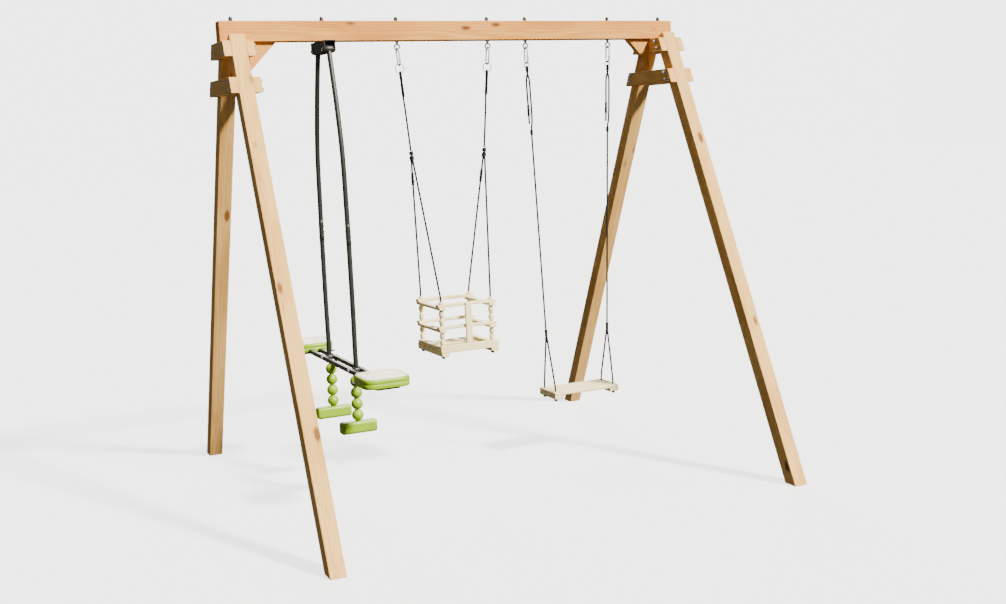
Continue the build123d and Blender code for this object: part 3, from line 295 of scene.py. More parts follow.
class Piece:
    """Vertices and faces gathered from several shapes into one object."""

    def __init__(self, name):
        self.name = name
        self.verts = []
        self.grain = []
        self.faces = []
        self.smooth = []
        self.slots = []
        self.materials = []
        self.count = 0

    def add(self, verts, faces, material, grain, smooth):
        """Add one shape, with a place in the grain for each vertex and an answer for each face."""
        if material not in self.materials:
            self.materials.append(material)
        self.verts.append(verts)
        self.grain.append(grain)
        self.faces.extend([[self.count + i for i in face] for face in faces])
        self.smooth.extend(smooth)
        self.slots.extend([self.materials.index(material)] * len(faces))
        self.count += len(verts)

    def grid(self, points, material, caps=True):
        """Skin over rings of points: each is joined to the next in its ring and in the next ring.

        points is an array of ring, place in the ring and axis; each ring closes on itself.
        The grain runs along Z, with X and Y across it.
        """
        rings, count = points.shape[:2]
        here = np.arange(rings * count).reshape(rings, count)
        after = np.roll(here, -1, axis=1)
        quads = np.stack([here[:-1], after[:-1], after[1:], here[1:]], axis=-1).reshape(-1, 4)
        faces = quads.tolist()
        smooth = [True] * len(faces)
        if caps:
            faces += [here[0, ::-1].tolist(), here[-1].tolist()]
            smooth += [False, False]
        verts = points.reshape(-1, 3)
        self.add(verts, faces, material, verts[:, [2, 0, 1]], smooth)

    def build(self, body, slot, *nodes):
        """Make the object, put it on its body and let it stand for its nodes."""
        mesh = bpy.data.meshes.new(self.name)
        mesh.from_pydata(np.concatenate(self.verts), [], self.faces)
        mesh.polygons.foreach_set("use_smooth", self.smooth)
        mesh.polygons.foreach_set("material_index", self.slots)
        layer = mesh.attributes.new("grain", "FLOAT_VECTOR", "POINT")
        layer.data.foreach_set("vector", np.concatenate(self.grain).astype(np.float32).ravel())
        for material in self.materials:
            mesh.materials.append(material)
        repair = bmesh.new()
        repair.from_mesh(mesh)
        bmesh.ops.recalc_face_normals(repair, faces=repair.faces)
        repair.to_mesh(mesh)
        repair.free()
        obj = bpy.data.objects.new(self.name, mesh)
        bpy.context.scene.collection.objects.link(obj)
        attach(obj, body)
        if nodes:
            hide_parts(*nodes)
        return obj


SEEDS = np.random.default_rng(7)


def unit(vector):
    """The same direction with length 1."""
    vector = np.array(vector, dtype=float)
    return vector / np.linalg.norm(vector)


def circle(side, other, around):
    """Directions all round, each the cosine of its angle times side plus the sine times other.

    The result has one axis more than side and other, for the place in the ring.
    """
    angle = np.linspace(0, 2 * math.pi, around, endpoint=False)[:, None]
    return np.cos(angle) * side[..., None, :] + np.sin(angle) * other[..., None, :]


def grain_of(verts, along, middle):
    """Place of each vertex in its board's grain.

    That is its distance along the board plus a random start, and its two distances across
    from the board's middle plus a random shift, which puts the pith to one side.
    """
    along = unit(along)
    helper = (1.0, 0, 0) if abs(along[0]) < 0.9 else (0, 1.0, 0)
    side = unit(np.cross(along, helper))
    other = np.cross(along, side)
    rel = np.array(verts) - np.array(middle)
    pith = SEEDS.uniform(0.015, 0.05, 2) * SEEDS.choice((-1, 1), 2)
    start = SEEDS.uniform(0, 40)
    return np.stack([rel @ along + start, rel @ side + pith[0], rel @ other + pith[1]], axis=1)


def prism(piece, outline, depth, material, along, soft):
    """Board: an outline of 3-D points carried along a vector, its edges rounded over."""
    work = bmesh.new()
    low = [work.verts.new(p) for p in outline]
    high = [work.verts.new(Vector(p) + Vector(depth)) for p in outline]
    count = len(outline)
    work.faces.new(low[::-1])
    work.faces.new(high)
    for i in range(count):
        j = (i + 1) % count
        work.faces.new((low[i], low[j], high[j], high[i]))
    bmesh.ops.recalc_face_normals(work, faces=work.faces)
    made = bmesh.ops.bevel(
        work,
        geom=list(work.edges),
        offset=soft,
        segments=3,
        profile=0.5,
        affect="EDGES",
        clamp_overlap=True,
    )
    round_faces = set(made["faces"])
    work.verts.index_update()
    verts = [tuple(v.co) for v in work.verts]
    faces = [[v.index for v in f.verts] for f in work.faces]
    smooth = [f in round_faces for f in work.faces]
    middle = np.mean(np.array(outline), axis=0) + np.array(depth) / 2
    piece.add(verts, faces, material, grain_of(verts, along, middle), smooth)
    work.free()


def board(piece, low, high, material, along, soft):
    """Square-edged board between two opposite corners."""
    x0, y0, z0 = low
    x1, y1, z1 = high
    outline = [(x0, y0, z0), (x1, y0, z0), (x1, y1, z0), (x0, y1, z0)]
    prism(piece, outline, (0, 0, z1 - z0), material, along, soft)


def frames_along(points):
    """Two side directions at each point of a path, which turn as little as possible.

    Each first side is the one before it less its share along the path's own direction, made
    one long again; the second is square to both.
    """
    tangents = np.gradient(points, axis=0)
    tangents /= np.linalg.norm(tangents, axis=1)[:, None]
    side = unit(np.cross(tangents[0], (0.3, 0.9, 0.1)))
    sides = []
    for tangent in tangents:
        side = unit(side - tangent * np.dot(side, tangent))
        sides.append(side)
    sides = np.array(sides)
    return sides, np.cross(tangents, sides)


def tube(piece, points, radius, material, around):
    """Round skin along a path: each point plus the radius times each direction round the path."""
    points = np.array(points, dtype=float)
    side, other = frames_along(points)
    piece.grid(points[:, None, :] + circle(side, other, around) * radius, material)


def turned(piece, start, axis, profile, material, around, caps=True):
    """Turned shape: pairs of distance along the axis and radius, spun round it.

    A point is the start, plus the distance times the axis, plus the radius times a direction
    square to the axis.
    """
    axis = unit(axis)
    side = unit(np.cross(axis, (0, 0, 1.0) if abs(axis[2]) < 0.9 else (1.0, 0, 0)))
    ring = circle(side, np.cross(axis, side), around)
    distance, radius = np.array(profile, dtype=float).T[:, :, None, None]
    rings = np.array(start) + axis * distance + ring * np.maximum(radius, 1e-5)
    piece.grid(rings, material, caps=caps)


def helix(start, end, radius, turns, steps=22):
    """Points of a coil round the line from start to end, with steps points a turn.

    A point is the same share of the way along the line and of the whole angle round it, and
    stands off the line by the radius.
    """
    start = np.array(start, dtype=float)
    way = np.array(end, dtype=float) - start
    axis = unit(way)
    side = unit(np.cross(axis, (0.2, 1.0, 0.1)))
    other = np.cross(axis, side)
    share = np.linspace(0, 1, int(turns * steps) + 1)[:, None]
    angle = share * turns * 2 * math.pi
    return start + way * share + radius * (np.cos(angle) * side + np.sin(angle) * other)


# ---------------------------------------------------------------- ropes

HINGE = 2.389
ROPE_R = 0.005
PIN_WRAP = 0.0093
LOOP_R = 0.0078
LOOP_CORNER = LOOP_R / math.cos(math.pi / 8)
BRAID_PITCH = 0.034
ROPE_STEP = 0.0025
SLEEVE_GAP = 0.00515
ADJUSTER_GAP = 0.010


class Swing:
    """Where a swing's ropes run.

    x is its middle along the beam, eye half the gap of its eye bolts, corner_x and corner_y
    the holes of its seat, tip the fork pins' height, bend the height at which the forked
    ropes turn upright, and end the height of their ends.
    """

    def __init__(self, x, eye, corner_x, corner_y, tip, bend, end):
        self.x = x
        self.eye = eye
        self.corner_x = corner_x
        self.corner_y = corner_y
        self.bend = bend
        self.end = end
        self.lean = math.atan((eye - corner_x) / (HINGE - bend))
        self.pin = self.down(tip)
        self.drop = self.down(bend) - self.pin
        wrap = math.asin(PIN_WRAP / math.hypot(corner_y, self.drop))
        self.fan = math.atan2(corner_y, self.drop) - wrap
        self.apex = PIN_WRAP / math.sin(self.fan)

    def down(self, height):
        """Way down the hanging line to a height: the fall divided by the lean's cosine."""
        return (HINGE - height) / math.cos(self.lean)

    def point(self, side, across, depth, down):
        """Point across the hanging line, towards the back, and down it from the eye bolt.

        Down counts times the lean's sine towards the middle and times its cosine downwards;
        across counts times the cosine along the beam and times the sine downwards.
        """
        sine, cosine = math.sin(self.lean), math.cos(self.lean)
        x = self.x + side * (self.eye - down * sine) + across * cosine
        return (x, depth, HINGE - down * cosine - side * across * sine)

    def spread(self, below):
        """Distance of a forked rope from the line, at a way below the fork pin.

        The way below the point where the two straight runs would meet, times the tangent
        of the angle between a run and the line.
        """
        return (self.apex + below) * math.tan(self.fan)


BABY = Swing(-0.115, 0.270, 0.150, 0.150, 1.8, 1.03, 0.697)
PLANK = Swing(0.661, 0.269, 0.195, 0.070, 0.7, 0.425, 0.345)


def over_ring(wire, lead):
    """Rope's way over a ring's bottom wire, which lies at a way down the line.

    Between two points a lead below the wire, the corners are those of half an octagon
    round it: cosine and sine of odd eighths of a half turn times the corner's radius.
    """
    corners = []
    for eighth in (1, 3, 5, 7):
        angle = eighth * math.pi / 8
        corners.append((0, LOOP_CORNER * math.cos(angle), wire - LOOP_CORNER * math.sin(angle)))
    return [(0, LOOP_R, wire + lead)] + corners + [(0, -LOOP_R, wire + lead)]


def spline_points(name, route):
    """Centreline of a rope: the smooth curve that has its route's points as control points."""
    curve = bpy.data.curves.new(name + "_line", "CURVE")
    curve.dimensions = "3D"
    spline = curve.splines.new("NURBS")
    spline.points.add(len(route) - 1)
    for point, place in zip(spline.points, route):
        point.co = (place[0], place[1], place[2], 1.0)
    spline.order_u = 3
    spline.use_endpoint_u = True
    spline.resolution_u = 24
    holder = bpy.data.objects.new(name + "_line", curve)
    bpy.context.scene.collection.objects.link(holder)
    line = bpy.data.meshes.new_from_object(holder)
    points = np.array([tuple(v.co) for v in line.vertices])
    bpy.data.objects.remove(holder)
    bpy.data.curves.remove(curve)
    bpy.data.meshes.remove(line)
    return points


def even_points(points, step):
    """The same line with its points a step apart, and the way along it to each of them."""
    gaps = np.linalg.norm(np.diff(points, axis=0), axis=1)
    way = np.concatenate([[0], np.cumsum(gaps)])
    places = np.linspace(0, way[-1], int(way[-1] / step) + 1)
    return np.stack([np.interp(places, way, points[:, i]) for i in range(3)], axis=1), places


def rope(name, route, body, node):
    """Braided rope: two sets of strands wind opposite ways and stand up from the hollows.

    The relief is the greater of two sines' sizes, each of twice the angle round the rope
    plus or minus the angle wound so far; the radius grows with it.
    """
    points, way = even_points(spline_points(name, route), ROPE_STEP)
    around = 16
    angle = np.linspace(0, 2 * math.pi, around, endpoint=False)[None, :]
    wound = way[:, None] * 2 * math.pi / BRAID_PITCH
    one_way = np.abs(np.sin(2 * angle + wound))
    other_way = np.abs(np.sin(2 * angle - wound + 0.8))
    relief = np.maximum(one_way, other_way)
    radius = ROPE_R * (0.93 + 0.11 * relief)
    ring = circle(*frames_along(points), around)
    piece = Piece(name)
    piece.grid(points[:, None, :] + ring * radius[..., None], ROPE)
    obj = piece.build(body, "rope", node)
    # The relief also sets the painted shade of the hollows in the rope material.
    braid = np.stack(np.broadcast_arrays(relief, way[:, None], angle), axis=2)
    layer = obj.data.attributes.new("braid", "FLOAT_VECTOR", "POINT")
    layer.data.foreach_set("vector", braid.astype(np.float32).ravel())


def baby_line(name, side, node):
    """Rope from the split knot up through the sleeve, over the ring and back into the sleeve."""
    route = [(0, 0, BABY.pin - 0.043), (0, 0, 0.370), (0, 0, 0.310)]
    route += [(0, SLEEVE_GAP, 0.262), (0, SLEEVE_GAP, 0.174)] + over_ring(0.1269, 0.014)
    route += [(0, -SLEEVE_GAP, 0.174), (0, -SLEEVE_GAP, 0.254)]
    sleeve = Piece(name + "_sleeve")
    top = np.array(BABY.point(side, 0, 0, 0.187))
    low = np.array(BABY.point(side, 0, 0, 0.249))
    coil = helix(top, low, 0.0056, 16, 20)
    middle = top + (low - top) * np.linspace(0, 1, len(coil))[:, None]
    flattened = middle + (coil - middle) * np.array((1.0, 1.7, 1.0))
    tube(sleeve, flattened, 0.0021, ROPE, 8)
    fitting = sleeve.build("baby_lines", "black_plastic", "baby_rope_fittings")
    points = [BABY.point(side, *place) for place in route]
    rope(name, points, "baby_lines", node)


def plank_line(name, side, node):
    """Rope from the fork clamp up to the join, over the small ring and down to its free tail."""
    wire = 0.1089
    top = wire + 0.062
    gap = ADJUSTER_GAP
    route = [(0, 0, PLANK.pin - 0.062), (0, 0, 0.520), (0, 0, 0.450), (gap, 0, 0.415)]
    route += [(gap, 0, 0.230), (gap, 0, top)] + over_ring(wire, 0.022)
    route += [(-gap, 0, top), (-gap, 0, 0.230), (-gap, 0, 0.426)]
    points = [PLANK.point(side, *place) for place in route]
    rope(name, points, "plank_lines", node)


def forked(name, swing, side, body, node):
    """Rope from one seat corner up over the fork pin and down to the other corner."""
    x = swing.x + side * swing.corner_x
    y = -swing.corner_y
    front = [(x, y, swing.end), (x, y, swing.bend - 0.055), (x, y, swing.bend)]
    for below in (swing.drop - 0.055, 0.075, 0.015):
        front.append(swing.point(side, 0, -swing.spread(below), swing.pin + below))
    over_pin = swing.point(side, 0, 0, swing.pin - 0.034)
    back = [(p[0], -p[1], p[2]) for p in front[::-1]]
    rope(name, front + [over_pin] + back, body, node)


for word, side in (("left", -1), ("right", 1)):
    baby_line("baby_rope_" + word, side, "baby_line_" + word)
    plank_line("plank_rope_" + word, side, "plank_line_" + word)
    forked("baby_fork_" + word, BABY, side, "baby_seat", "baby_cord_" + word)
    forked("plank_fork_" + word, PLANK, side, "plank_seat_body", "plank_cord_" + word)

# ---------------------------------------------------------------- frame timbers

TIMBER = 0.080
LEAN = math.radians(25.5)
LEAN_TAN = math.tan(LEAN)
BEAM_LOW = 2.435
BEAM_HIGH = 2.540
BEAM_HALF = 1.35
LEG_X = 1.28
LEG_TOP_Y = TIMBER / 2 + TIMBER * math.cos(LEAN)
LEG_TOP_Z = BEAM_LOW + TIMBER * math.sin(LEAN)
BRACE_THICK = 0.040
BRACE_LEVELS = (("upper", 2.395), ("lower", 2.210))
BRACE_SIDES = (("inner", 1.200), ("outer", 1.320))
KNEE_LENGTH = 0.145
KNEE_HEIGHT = 0.150


def outer_y(z):
    """Outer face of a leg at a height: its top's, plus the fall times the lean's tangent."""
    return LEG_TOP_Y + (LEG_TOP_Z - z) * LEAN_TAN


def inner_y(z):
    """Inner face of a leg at a height: half a timber, plus the fall times the tangent."""
    return TIMBER / 2 + (BEAM_LOW - z) * LEAN_TAN


def ordered(side, near, far):
    """Two distances from the middle on one side, the lesser X first."""
    return sorted((side * near, side * far))


beam = Piece("beam")
beam_low = (-BEAM_HALF, -TIMBER / 2, BEAM_LOW)
board(beam, beam_low, (BEAM_HALF, TIMBER / 2, BEAM_HIGH), BEAM_WOOD, (1, 0, 0), 0.004)
beam.build("frame", "beam_wood", "top_beam")

for word, side in (("left", -1), ("right", 1)):
    x0 = side * LEG_X - TIMBER / 2
    for place, end in (("front", -1), ("back", 1)):
        leg = Piece("leg_timber_" + place + "_" + word)
        outline = [
            (x0, end * TIMBER / 2, BEAM_LOW),
            (x0, end * LEG_TOP_Y, LEG_TOP_Z),
            (x0, end * outer_y(0), 0),
            (x0, end * inner_y(0), 0),
        ]
        prism(leg, outline, (TIMBER, 0, 0), LEG_WOOD, (0, end * LEAN_TAN, -1), 0.004)
        leg.build("frame", "leg_wood", "leg_" + place + "_" + word)
    for level, middle in BRACE_LEVELS:
        low = middle - TIMBER / 2
        high = middle + TIMBER / 2
        for part, near in BRACE_SIDES:
            brace = Piece("cross_" + level + "_" + part + "_" + word)
            x = ordered(side, near, near + BRACE_THICK)[0]
            outline = [
                (x, -outer_y(low), low),
                (x, outer_y(low), low),
                (x, outer_y(high), high),
                (x, -outer_y(high), high),
            ]
            prism(brace, outline, (BRACE_THICK, 0, 0), LEG_WOOD, (0, 1, 0), 0.003)
            brace.build("frame", "leg_wood", "brace_" + level + "_" + part + "_" + word)

knees = Piece("knees")
saddles = Piece("saddles")
brace_face = BRACE_SIDES[0][1]
for side in (-1, 1):
    outline = [
        (side * brace_face, -0.020, BEAM_LOW),
        (side * (brace_face - KNEE_LENGTH), -0.020, BEAM_LOW),
        (side * brace_face, -0.020, BEAM_LOW - KNEE_HEIGHT),
    ]
    prism(knees, outline, (0, 0.040, 0), BEAM_WOOD, (side, 0, -1), 0.003)
    x0, x1 = ordered(side, LEG_X - TIMBER / 2, LEG_X + TIMBER / 2)
    low = (x0, -0.038, BEAM_LOW - TIMBER)
    board(saddles, low, (x1, 0.038, BEAM_LOW), LEG_WOOD, (0, 1, 0), 0.002)
knees.build("frame", "beam_wood", "knee_blocks")
saddles.build("frame", "beam_wood", "saddle_blocks")

# ---------------------------------------------------------------- glider

GLIDER_X = -0.8
SEAT_NEAR = 0.500
SEAT_FAR = 0.748
SEAT_HALF = 0.122
SEAT_WAIST = 0.092
SEAT_CORNER = 0.055
RAIL_LOW = 0.698
BALL_R = 0.031
BALL_PITCH = 0.182 / 3
BAR_LOW = 0.371
BAR_TOP = 0.436
ARM_R = 0.0132
ARM_LINE = (
    (0.095, 2.390), (0.165, 2.130), (0.217, 1.865), (0.231, 1.590),
    (0.237, 1.310), (0.238, 1.030), (0.234, 0.775), (0.235, 0.714),
)
SEAT_RIM = (
    (0.010, 0.7035), (0.002, 0.7040), (0.0, 0.7075), (0.0, 0.7270), (0.0012, 0.7285), (0.0, 0.7300),
    (0.0, 0.7440), (0.002, 0.7495), (0.006, 0.7525), (0.012, 0.7530), (0.0135, 0.7505),
)
SEAT_PAD = (
    (0.0135, 0.7505), (0.015, 0.7530), (0.019, 0.7540), (0.045, 0.7540), (0.085, 0.7532),
)


def arm_points(end):
    """Smooth line through the arm's places, pairs of distance from the middle and height.

    Between two places the distance is a cubic in the share t of the height between them: two
    cubics in t weigh the places themselves, and two weigh the slopes there.
    """
    y, z = np.array(ARM_LINE)[::-1].T
    slopes = np.gradient(y, z)
    heights = np.linspace(z[0], z[-1], 90)
    i = np.clip(np.searchsorted(z, heights) - 1, 0, len(z) - 2)
    gap = z[i + 1] - z[i]
    t = (heights - z[i]) / gap
    out = (2 * t**3 - 3 * t**2 + 1) * y[i] + (t**3 - 2 * t**2 + t) * gap * slopes[i]
    out += (3 * t**2 - 2 * t**3) * y[i + 1] + (t**3 - t**2) * gap * slopes[i + 1]
    return np.stack([np.full_like(heights, GLIDER_X), end * out, heights], axis=1)


def make_arm(name, end, body, node):
    """Bent steel tube with a wide eye at the top, a sleeve joint and an eye at the foot."""
    arm = Piece(name)
    line = arm_points(end)
    height = line[:, 2]
    tube(arm, line, ARM_R, BLACK_METAL, 24)
    tube(arm, line[(height > 1.36) & (height < 1.50)], ARM_R + 0.0005, BLACK_METAL, 24)
    screw = [(0, 0.0045), (0.003, 0.0045), (0.0045, 0.002)]
    for z in (1.39, 1.42, 1.45):
        y = np.interp(z, height, line[:, 1])
        for side in (-1, 1):
            turned(arm, (GLIDER_X + side * 0.012, y, z), (side, 0, 0), screw, ZINC, 14)
    edge = 0.0015
    foot_hole = 0.0052 if end < 0 else 0.0125
    for (y, z), half, radius, hole in (
        (ARM_LINE[0], 0.025, 0.019, 0.0052),
        (ARM_LINE[-1], 0.019, 0.017, foot_hole),
    ):
        eye = [(0, hole), (0, radius - edge), (edge, radius), (2 * half - edge, radius)]
        eye += [(2 * half, radius - edge), (2 * half, hole), (0, hole)]
        start = (GLIDER_X - half, end * y, z)
        turned(arm, start, (1, 0, 0), eye, BLACK_METAL, 32, caps=False)
    arm.build(body, "black_metal", node)


make_arm("front_arm", -1, "glider_front_arm", "glider_arm_front")
make_arm("rear_arm", 1, "glider_rear_arm", "glider_arm_rear")


def seat_outline(end, inset):
    """Seat edge seen from above: narrow at the inside, round at the outer corners.

    Everything is drawn in by the inset. A round corner's points are its middle plus the
    radius times the cosine and sine of nine even steps of a quarter turn.
    """
    inner = SEAT_NEAR + inset
    outer = SEAT_FAR - inset
    half = SEAT_HALF - inset
    waist = SEAT_WAIST - inset
    radius = SEAT_CORNER - inset * 0.5
    points = [(-half + 0.002, SEAT_NEAR + 0.060)]
    points += [(-waist - 0.004, inner + 0.008), (-waist + 0.006, inner)]
    points += [(waist - 0.006, inner), (waist + 0.004, inner + 0.008)]
    points += [(half - 0.002, SEAT_NEAR + 0.060), (half, SEAT_NEAR + 0.088)]
    for first, middle in ((0, half - radius), (math.pi / 2, radius - half)):
        for k in range(9):
            a = first + k / 8 * math.pi / 2
            points.append((middle + radius * math.cos(a), outer - radius + radius * math.sin(a)))
    points.append((-half, SEAT_NEAR + 0.088))
    return [(GLIDER_X + x, end * y) for x, y in points]


def make_seat(name, end, node):
    """Moulded seat: lime rim with a rounded edge, a groove, and a pale pad inside it."""
    seat = Piece(name)
    for rows, material, caps in ((SEAT_RIM, LIME, False), (SEAT_PAD, CREAM, True)):
        rings = [[(x, y, z) for x, y in seat_outline(end, inset)] for inset, z in rows]
        seat.grid(np.array(rings), material, caps=caps)
    seat.build("glider_seats", "seat_plastic", node)


make_seat("front_seat", -1, "glider_seat_front")
make_seat("rear_seat", 1, "glider_seat_rear")

plates = Piece("seat_plates")
rails = Piece("glider_rail_bars")
posts = Piece("footrest_balls")
bars = Piece("footrest_treads")
ball_profile = [(0, 0.0125)]
for index in range(4):
    middle = BALL_R + index * BALL_PITCH
    for a in np.linspace(-1.13, 1.13, 13):
        ball_profile.append((middle + BALL_R * math.sin(a), BALL_R * math.cos(a)))
ball_profile += [(0.246, 0.012), (0.256, 0.012)]
for end in (-1, 1):
    outline = [
        (GLIDER_X - 0.115, end * SEAT_NEAR, 0.695),
        (GLIDER_X + 0.115, end * SEAT_NEAR, 0.695),
        (GLIDER_X + 0.060, end * (SEAT_FAR - 0.015), 0.695),
        (GLIDER_X - 0.060, end * (SEAT_FAR - 0.015), 0.695),
    ]
    prism(plates, outline, (0, 0, 0.008), BLACK_METAL, (0, 1, 0), 0.0015)
    y = end * 0.215
    turned(posts, (GLIDER_X, y, BAR_TOP), (0, 0, 1), ball_profile, LIME, 32)
    y0, y1 = ordered(end, 0.190, 0.215)
    low = (GLIDER_X - BALL_R, y0, RAIL_LOW - 0.006)
    board(posts, low, (GLIDER_X + BALL_R, y1, RAIL_LOW), LIME, (1, 0, 0), 0.002)
    low = (GLIDER_X - 0.100, y - 0.030, BAR_LOW)
    board(bars, low, (GLIDER_X + 0.100, y + 0.030, BAR_TOP), LIME, (1, 0, 0), 0.014)
for side in (-1, 1):
    x0, x1 = ordered(side, 0.020, 0.040)
    low = (GLIDER_X + x0, -SEAT_NEAR, RAIL_LOW)
    high = (GLIDER_X + x1, SEAT_NEAR, RAIL_LOW + 0.024)
    board(rails, low, high, BLACK_METAL, (0, 1, 0), 0.003)
plates.build("glider_seats", "black_metal", "glider_seat_plates")
rails.build("glider_seats", "black_metal", "glider_rails")
posts.build("glider_seats", "lime_plastic", "glider_footrest_posts")
bars.build("glider_seats", "lime_plastic", "glider_footrest_bars")

# ---------------------------------------------------------------- baby swing

CORNER = BABY.corner_x
BABY_HALF = 0.175
SLAT = 0.016
SLAT_HALF = 0.020
RAIL_TOPS = (1.000, 0.876)
BEARER_LOW = 0.712
SLAT_LOW = 0.732
SLAT_TOP = SLAT_LOW + SLAT
EDGE_TOP = SLAT_TOP + SLAT
FRONT_LOW = -0.186
FRONT_HIGH = -0.170
BEAD_R = 0.0148
BEAD_BORE = 0.0055
BEAD_END = 0.0092


def pale_board(piece, x, y, z, along, soft):
    """Pale board of the baby seat, between a least and a greatest X, Y and Z."""
    board(piece, (x[0], y[0], z[0]), (x[1], y[1], z[1]), PALE_WOOD, along, soft)


def about(middle, half):
    """The two ends of a width about its middle."""
    return (middle - half, middle + half)


seat_rails = Piece("baby_seat_rails")
for top in RAIL_TOPS:
    step = top - SLAT
    for end in (-1, 1):
        y = about(end * CORNER, SLAT_HALF)
        pale_board(seat_rails, about(BABY.x, BABY_HALF), y, (step, top), (1, 0, 0), 0.004)
    for side in (-1, 1):
        x = about(BABY.x + side * CORNER, SLAT_HALF)
        pale_board(seat_rails, x, about(0, BABY_HALF), (step - SLAT, step), (0, 1, 0), 0.004)
seat_rails.build("baby_seat", "pale_wood", "baby_rails")


def bead_profile(half):
    """Bead of a length: its ends, and between them a belly that follows a cosine.

    The way along it follows a sine of the same angle, so that the points gather at the ends.
    """
    profile = [(0, BEAD_BORE), (0, BEAD_END), (0.003, 0.0098)]
    for k in range(9):
        a = -1.1 + k * 2.2 / 8
        along = half / 2 + (half / 2 - 0.004) * math.sin(a) / math.sin(1.1)
        profile.append((along, BEAD_R * math.cos(a * 0.75)))
    return profile + [(half - 0.003, 0.0098), (half, BEAD_END), (half, BEAD_BORE)]


beads = Piece("turned_beads")
collar = [(0, BEAD_BORE), (0, 0.008), (0.002, 0.0125), (0.007, BEAD_R)]
collar += [(0.012, 0.0125), (0.014, 0.008), (0.014, BEAD_BORE)]
corners = [(sx, sy) for sx in (-1, 1) for sy in (-1, 1)]
for sx, sy in corners:
    x = BABY.x + sx * CORNER
    y = sy * CORNER
    turned(beads, (x, y, RAIL_TOPS[0]), (0, 0, 1), collar, PALE_WOOD, 24, caps=False)
    for low, high in ((RAIL_TOPS[1], 0.968), (EDGE_TOP, 0.844)):
        half = (high - low) / 2
        for z in (low, low + half):
            turned(beads, (x, y, z), (0, 0, 1), bead_profile(half), PALE_WOOD, 24, caps=False)
beads.build("baby_seat", "pale_wood", "baby_beads")

base = Piece("baby_seat_base")
full = about(BABY.x, BABY_HALF)
for side in (-1, 1):
    x = BABY.x + side * CORNER
    pale_board(base, about(x, 0.022), (-0.188, BABY_HALF), (BEARER_LOW, SLAT_LOW), (0, 1, 0), 0.003)
    pale_board(base, about(x, SLAT_HALF), about(0, 0.170), (SLAT_TOP, EDGE_TOP), (0, 1, 0), 0.003)
for index in range(6):
    y = about(-CORNER + index * 0.060, SLAT_HALF)
    pale_board(base, full, y, (SLAT_LOW, SLAT_TOP), (1, 0, 0), 0.003)
front = (FRONT_LOW, FRONT_HIGH)
pale_board(base, full, front, (SLAT_LOW, 0.774), (1, 0, 0), 0.004)
pale_board(base, about(BABY.x, 0.019), front, (0.774, RAIL_TOPS[0]), (0, 0, 1), 0.004)
base.build("baby_seat", "pale_wood", "baby_base")

fittings = Piece("baby_split_knots")
for side in (-1, 1):
    for above, below, radius, turns in ((-0.038, -0.024, 0.0075, 2.0), (-0.012, 0.006, 0.0085, 2.6)):
        start = BABY.point(side, 0, 0, BABY.pin + above)
        stop = BABY.point(side, 0, 0, BABY.pin + below)
        tube(fittings, helix(start, stop, radius, turns), 0.0050, ROPE, 12)
fittings.build("baby_lines", "black_plastic", "baby_rope_fittings")


def underside_knot(piece, x, y, under):
    """Knot in a rope's end under a board: a little more than two turns of rope."""
    coil = helix((x, y, under - 0.0042), (x, y, under - 0.0135), 0.0060, 2.3)
    tube(piece, coil, 0.0042, ROPE, 12)


ends = Piece("baby_rope_ends")
for side in (-1, 1):
    marks = []
    for down in (BABY.down(1.720), BABY.down(1.654)):
        marks.append(BABY.point(side, 0, BABY.spread(down - BABY.pin), down))
    tube(ends, helix(marks[0], marks[1], 0.0064, 17, 20), 0.0020, ROPE, 8)
    for sy in (-1, 1):
        underside_knot(ends, BABY.x + side * CORNER, sy * CORNER, BEARER_LOW)
ends.build("baby_seat", "black_plastic", "baby_end_fittings")

# ---------------------------------------------------------------- plank swing

PLANK_HALF = 0.215
PLANK_DEPTH = 0.100
PLANK_LOW = 0.380
PLANK_TOP = 0.400
BATTEN_LOW = 0.360
BATTEN_WIDTH = 0.060

plank = Piece("plank_board")
low = (PLANK.x - PLANK_HALF, -PLANK_DEPTH, PLANK_LOW)
high = (PLANK.x + PLANK_HALF, PLANK_DEPTH, PLANK_TOP)
board(plank, low, high, PALE_WOOD, (1, 0, 0), 0.005)
# A thin dark line across the plank's top from one rope hole to the other, on each side.
for side in (-1, 1):
    x = PLANK.x + side * PLANK.corner_x
    low = (x - 0.0008, -0.066, PLANK_TOP - 0.0005)
    board(plank, low, (x + 0.0008, 0.066, PLANK_TOP + 0.0003), THIN_DARK_LINE, (0, 1, 0), 0.0002)
plank.build("plank_seat_body", "pale_wood", "plank_seat")

battens = Piece("plank_cross_battens")
knots = Piece("plank_rope_ends")
adjusters = Piece("plank_adjusters")
clamp = [(0, 0.006), (0.001, 0.0085), (0.003, 0.0094), (0.012, 0.0094), (0.015, 0.0080)]
clamp += [(0.050, 0.0080), (0.053, 0.0094), (0.066, 0.0094), (0.070, 0.0085), (0.0715, 0.006)]
for side in (-1, 1):
    x0, x1 = ordered(side, PLANK_HALF - BATTEN_WIDTH, PLANK_HALF)
    low = (PLANK.x + x0, -PLANK_DEPTH, BATTEN_LOW)
    board(battens, low, (PLANK.x + x1, PLANK_DEPTH, PLANK_LOW), PALE_WOOD, (0, 1, 0), 0.004)
    for sy in (-1, 1):
        x = PLANK.x + side * PLANK.corner_x
        underside_knot(knots, x, sy * PLANK.corner_y, BATTEN_LOW)
    spots = []
    for across, down in ((-ADJUSTER_GAP, 0.321), (-ADJUSTER_GAP, 0.379), (0, 0.461), (0, 0.487)):
        spots.append(PLANK.point(side, across, 0, down))
    tube(adjusters, helix(spots[0], spots[1], 0.0068, 5, 24), 0.0026, ROPE, 12)
    tube(adjusters, helix(spots[0], spots[1], 0.0056, 14, 18), 0.0012, ROPE, 8)
    tube(adjusters, helix(spots[2], spots[3], 0.0066, 5, 24), 0.0026, ROPE, 12)
    start = np.array(PLANK.point(side, 0, 0, PLANK.pin - 0.062))
    axis = np.array(PLANK.point(side, 0, 0, PLANK.pin)) - start
    turned(adjusters, start, axis, clamp, BLACK_PLASTIC, 24)
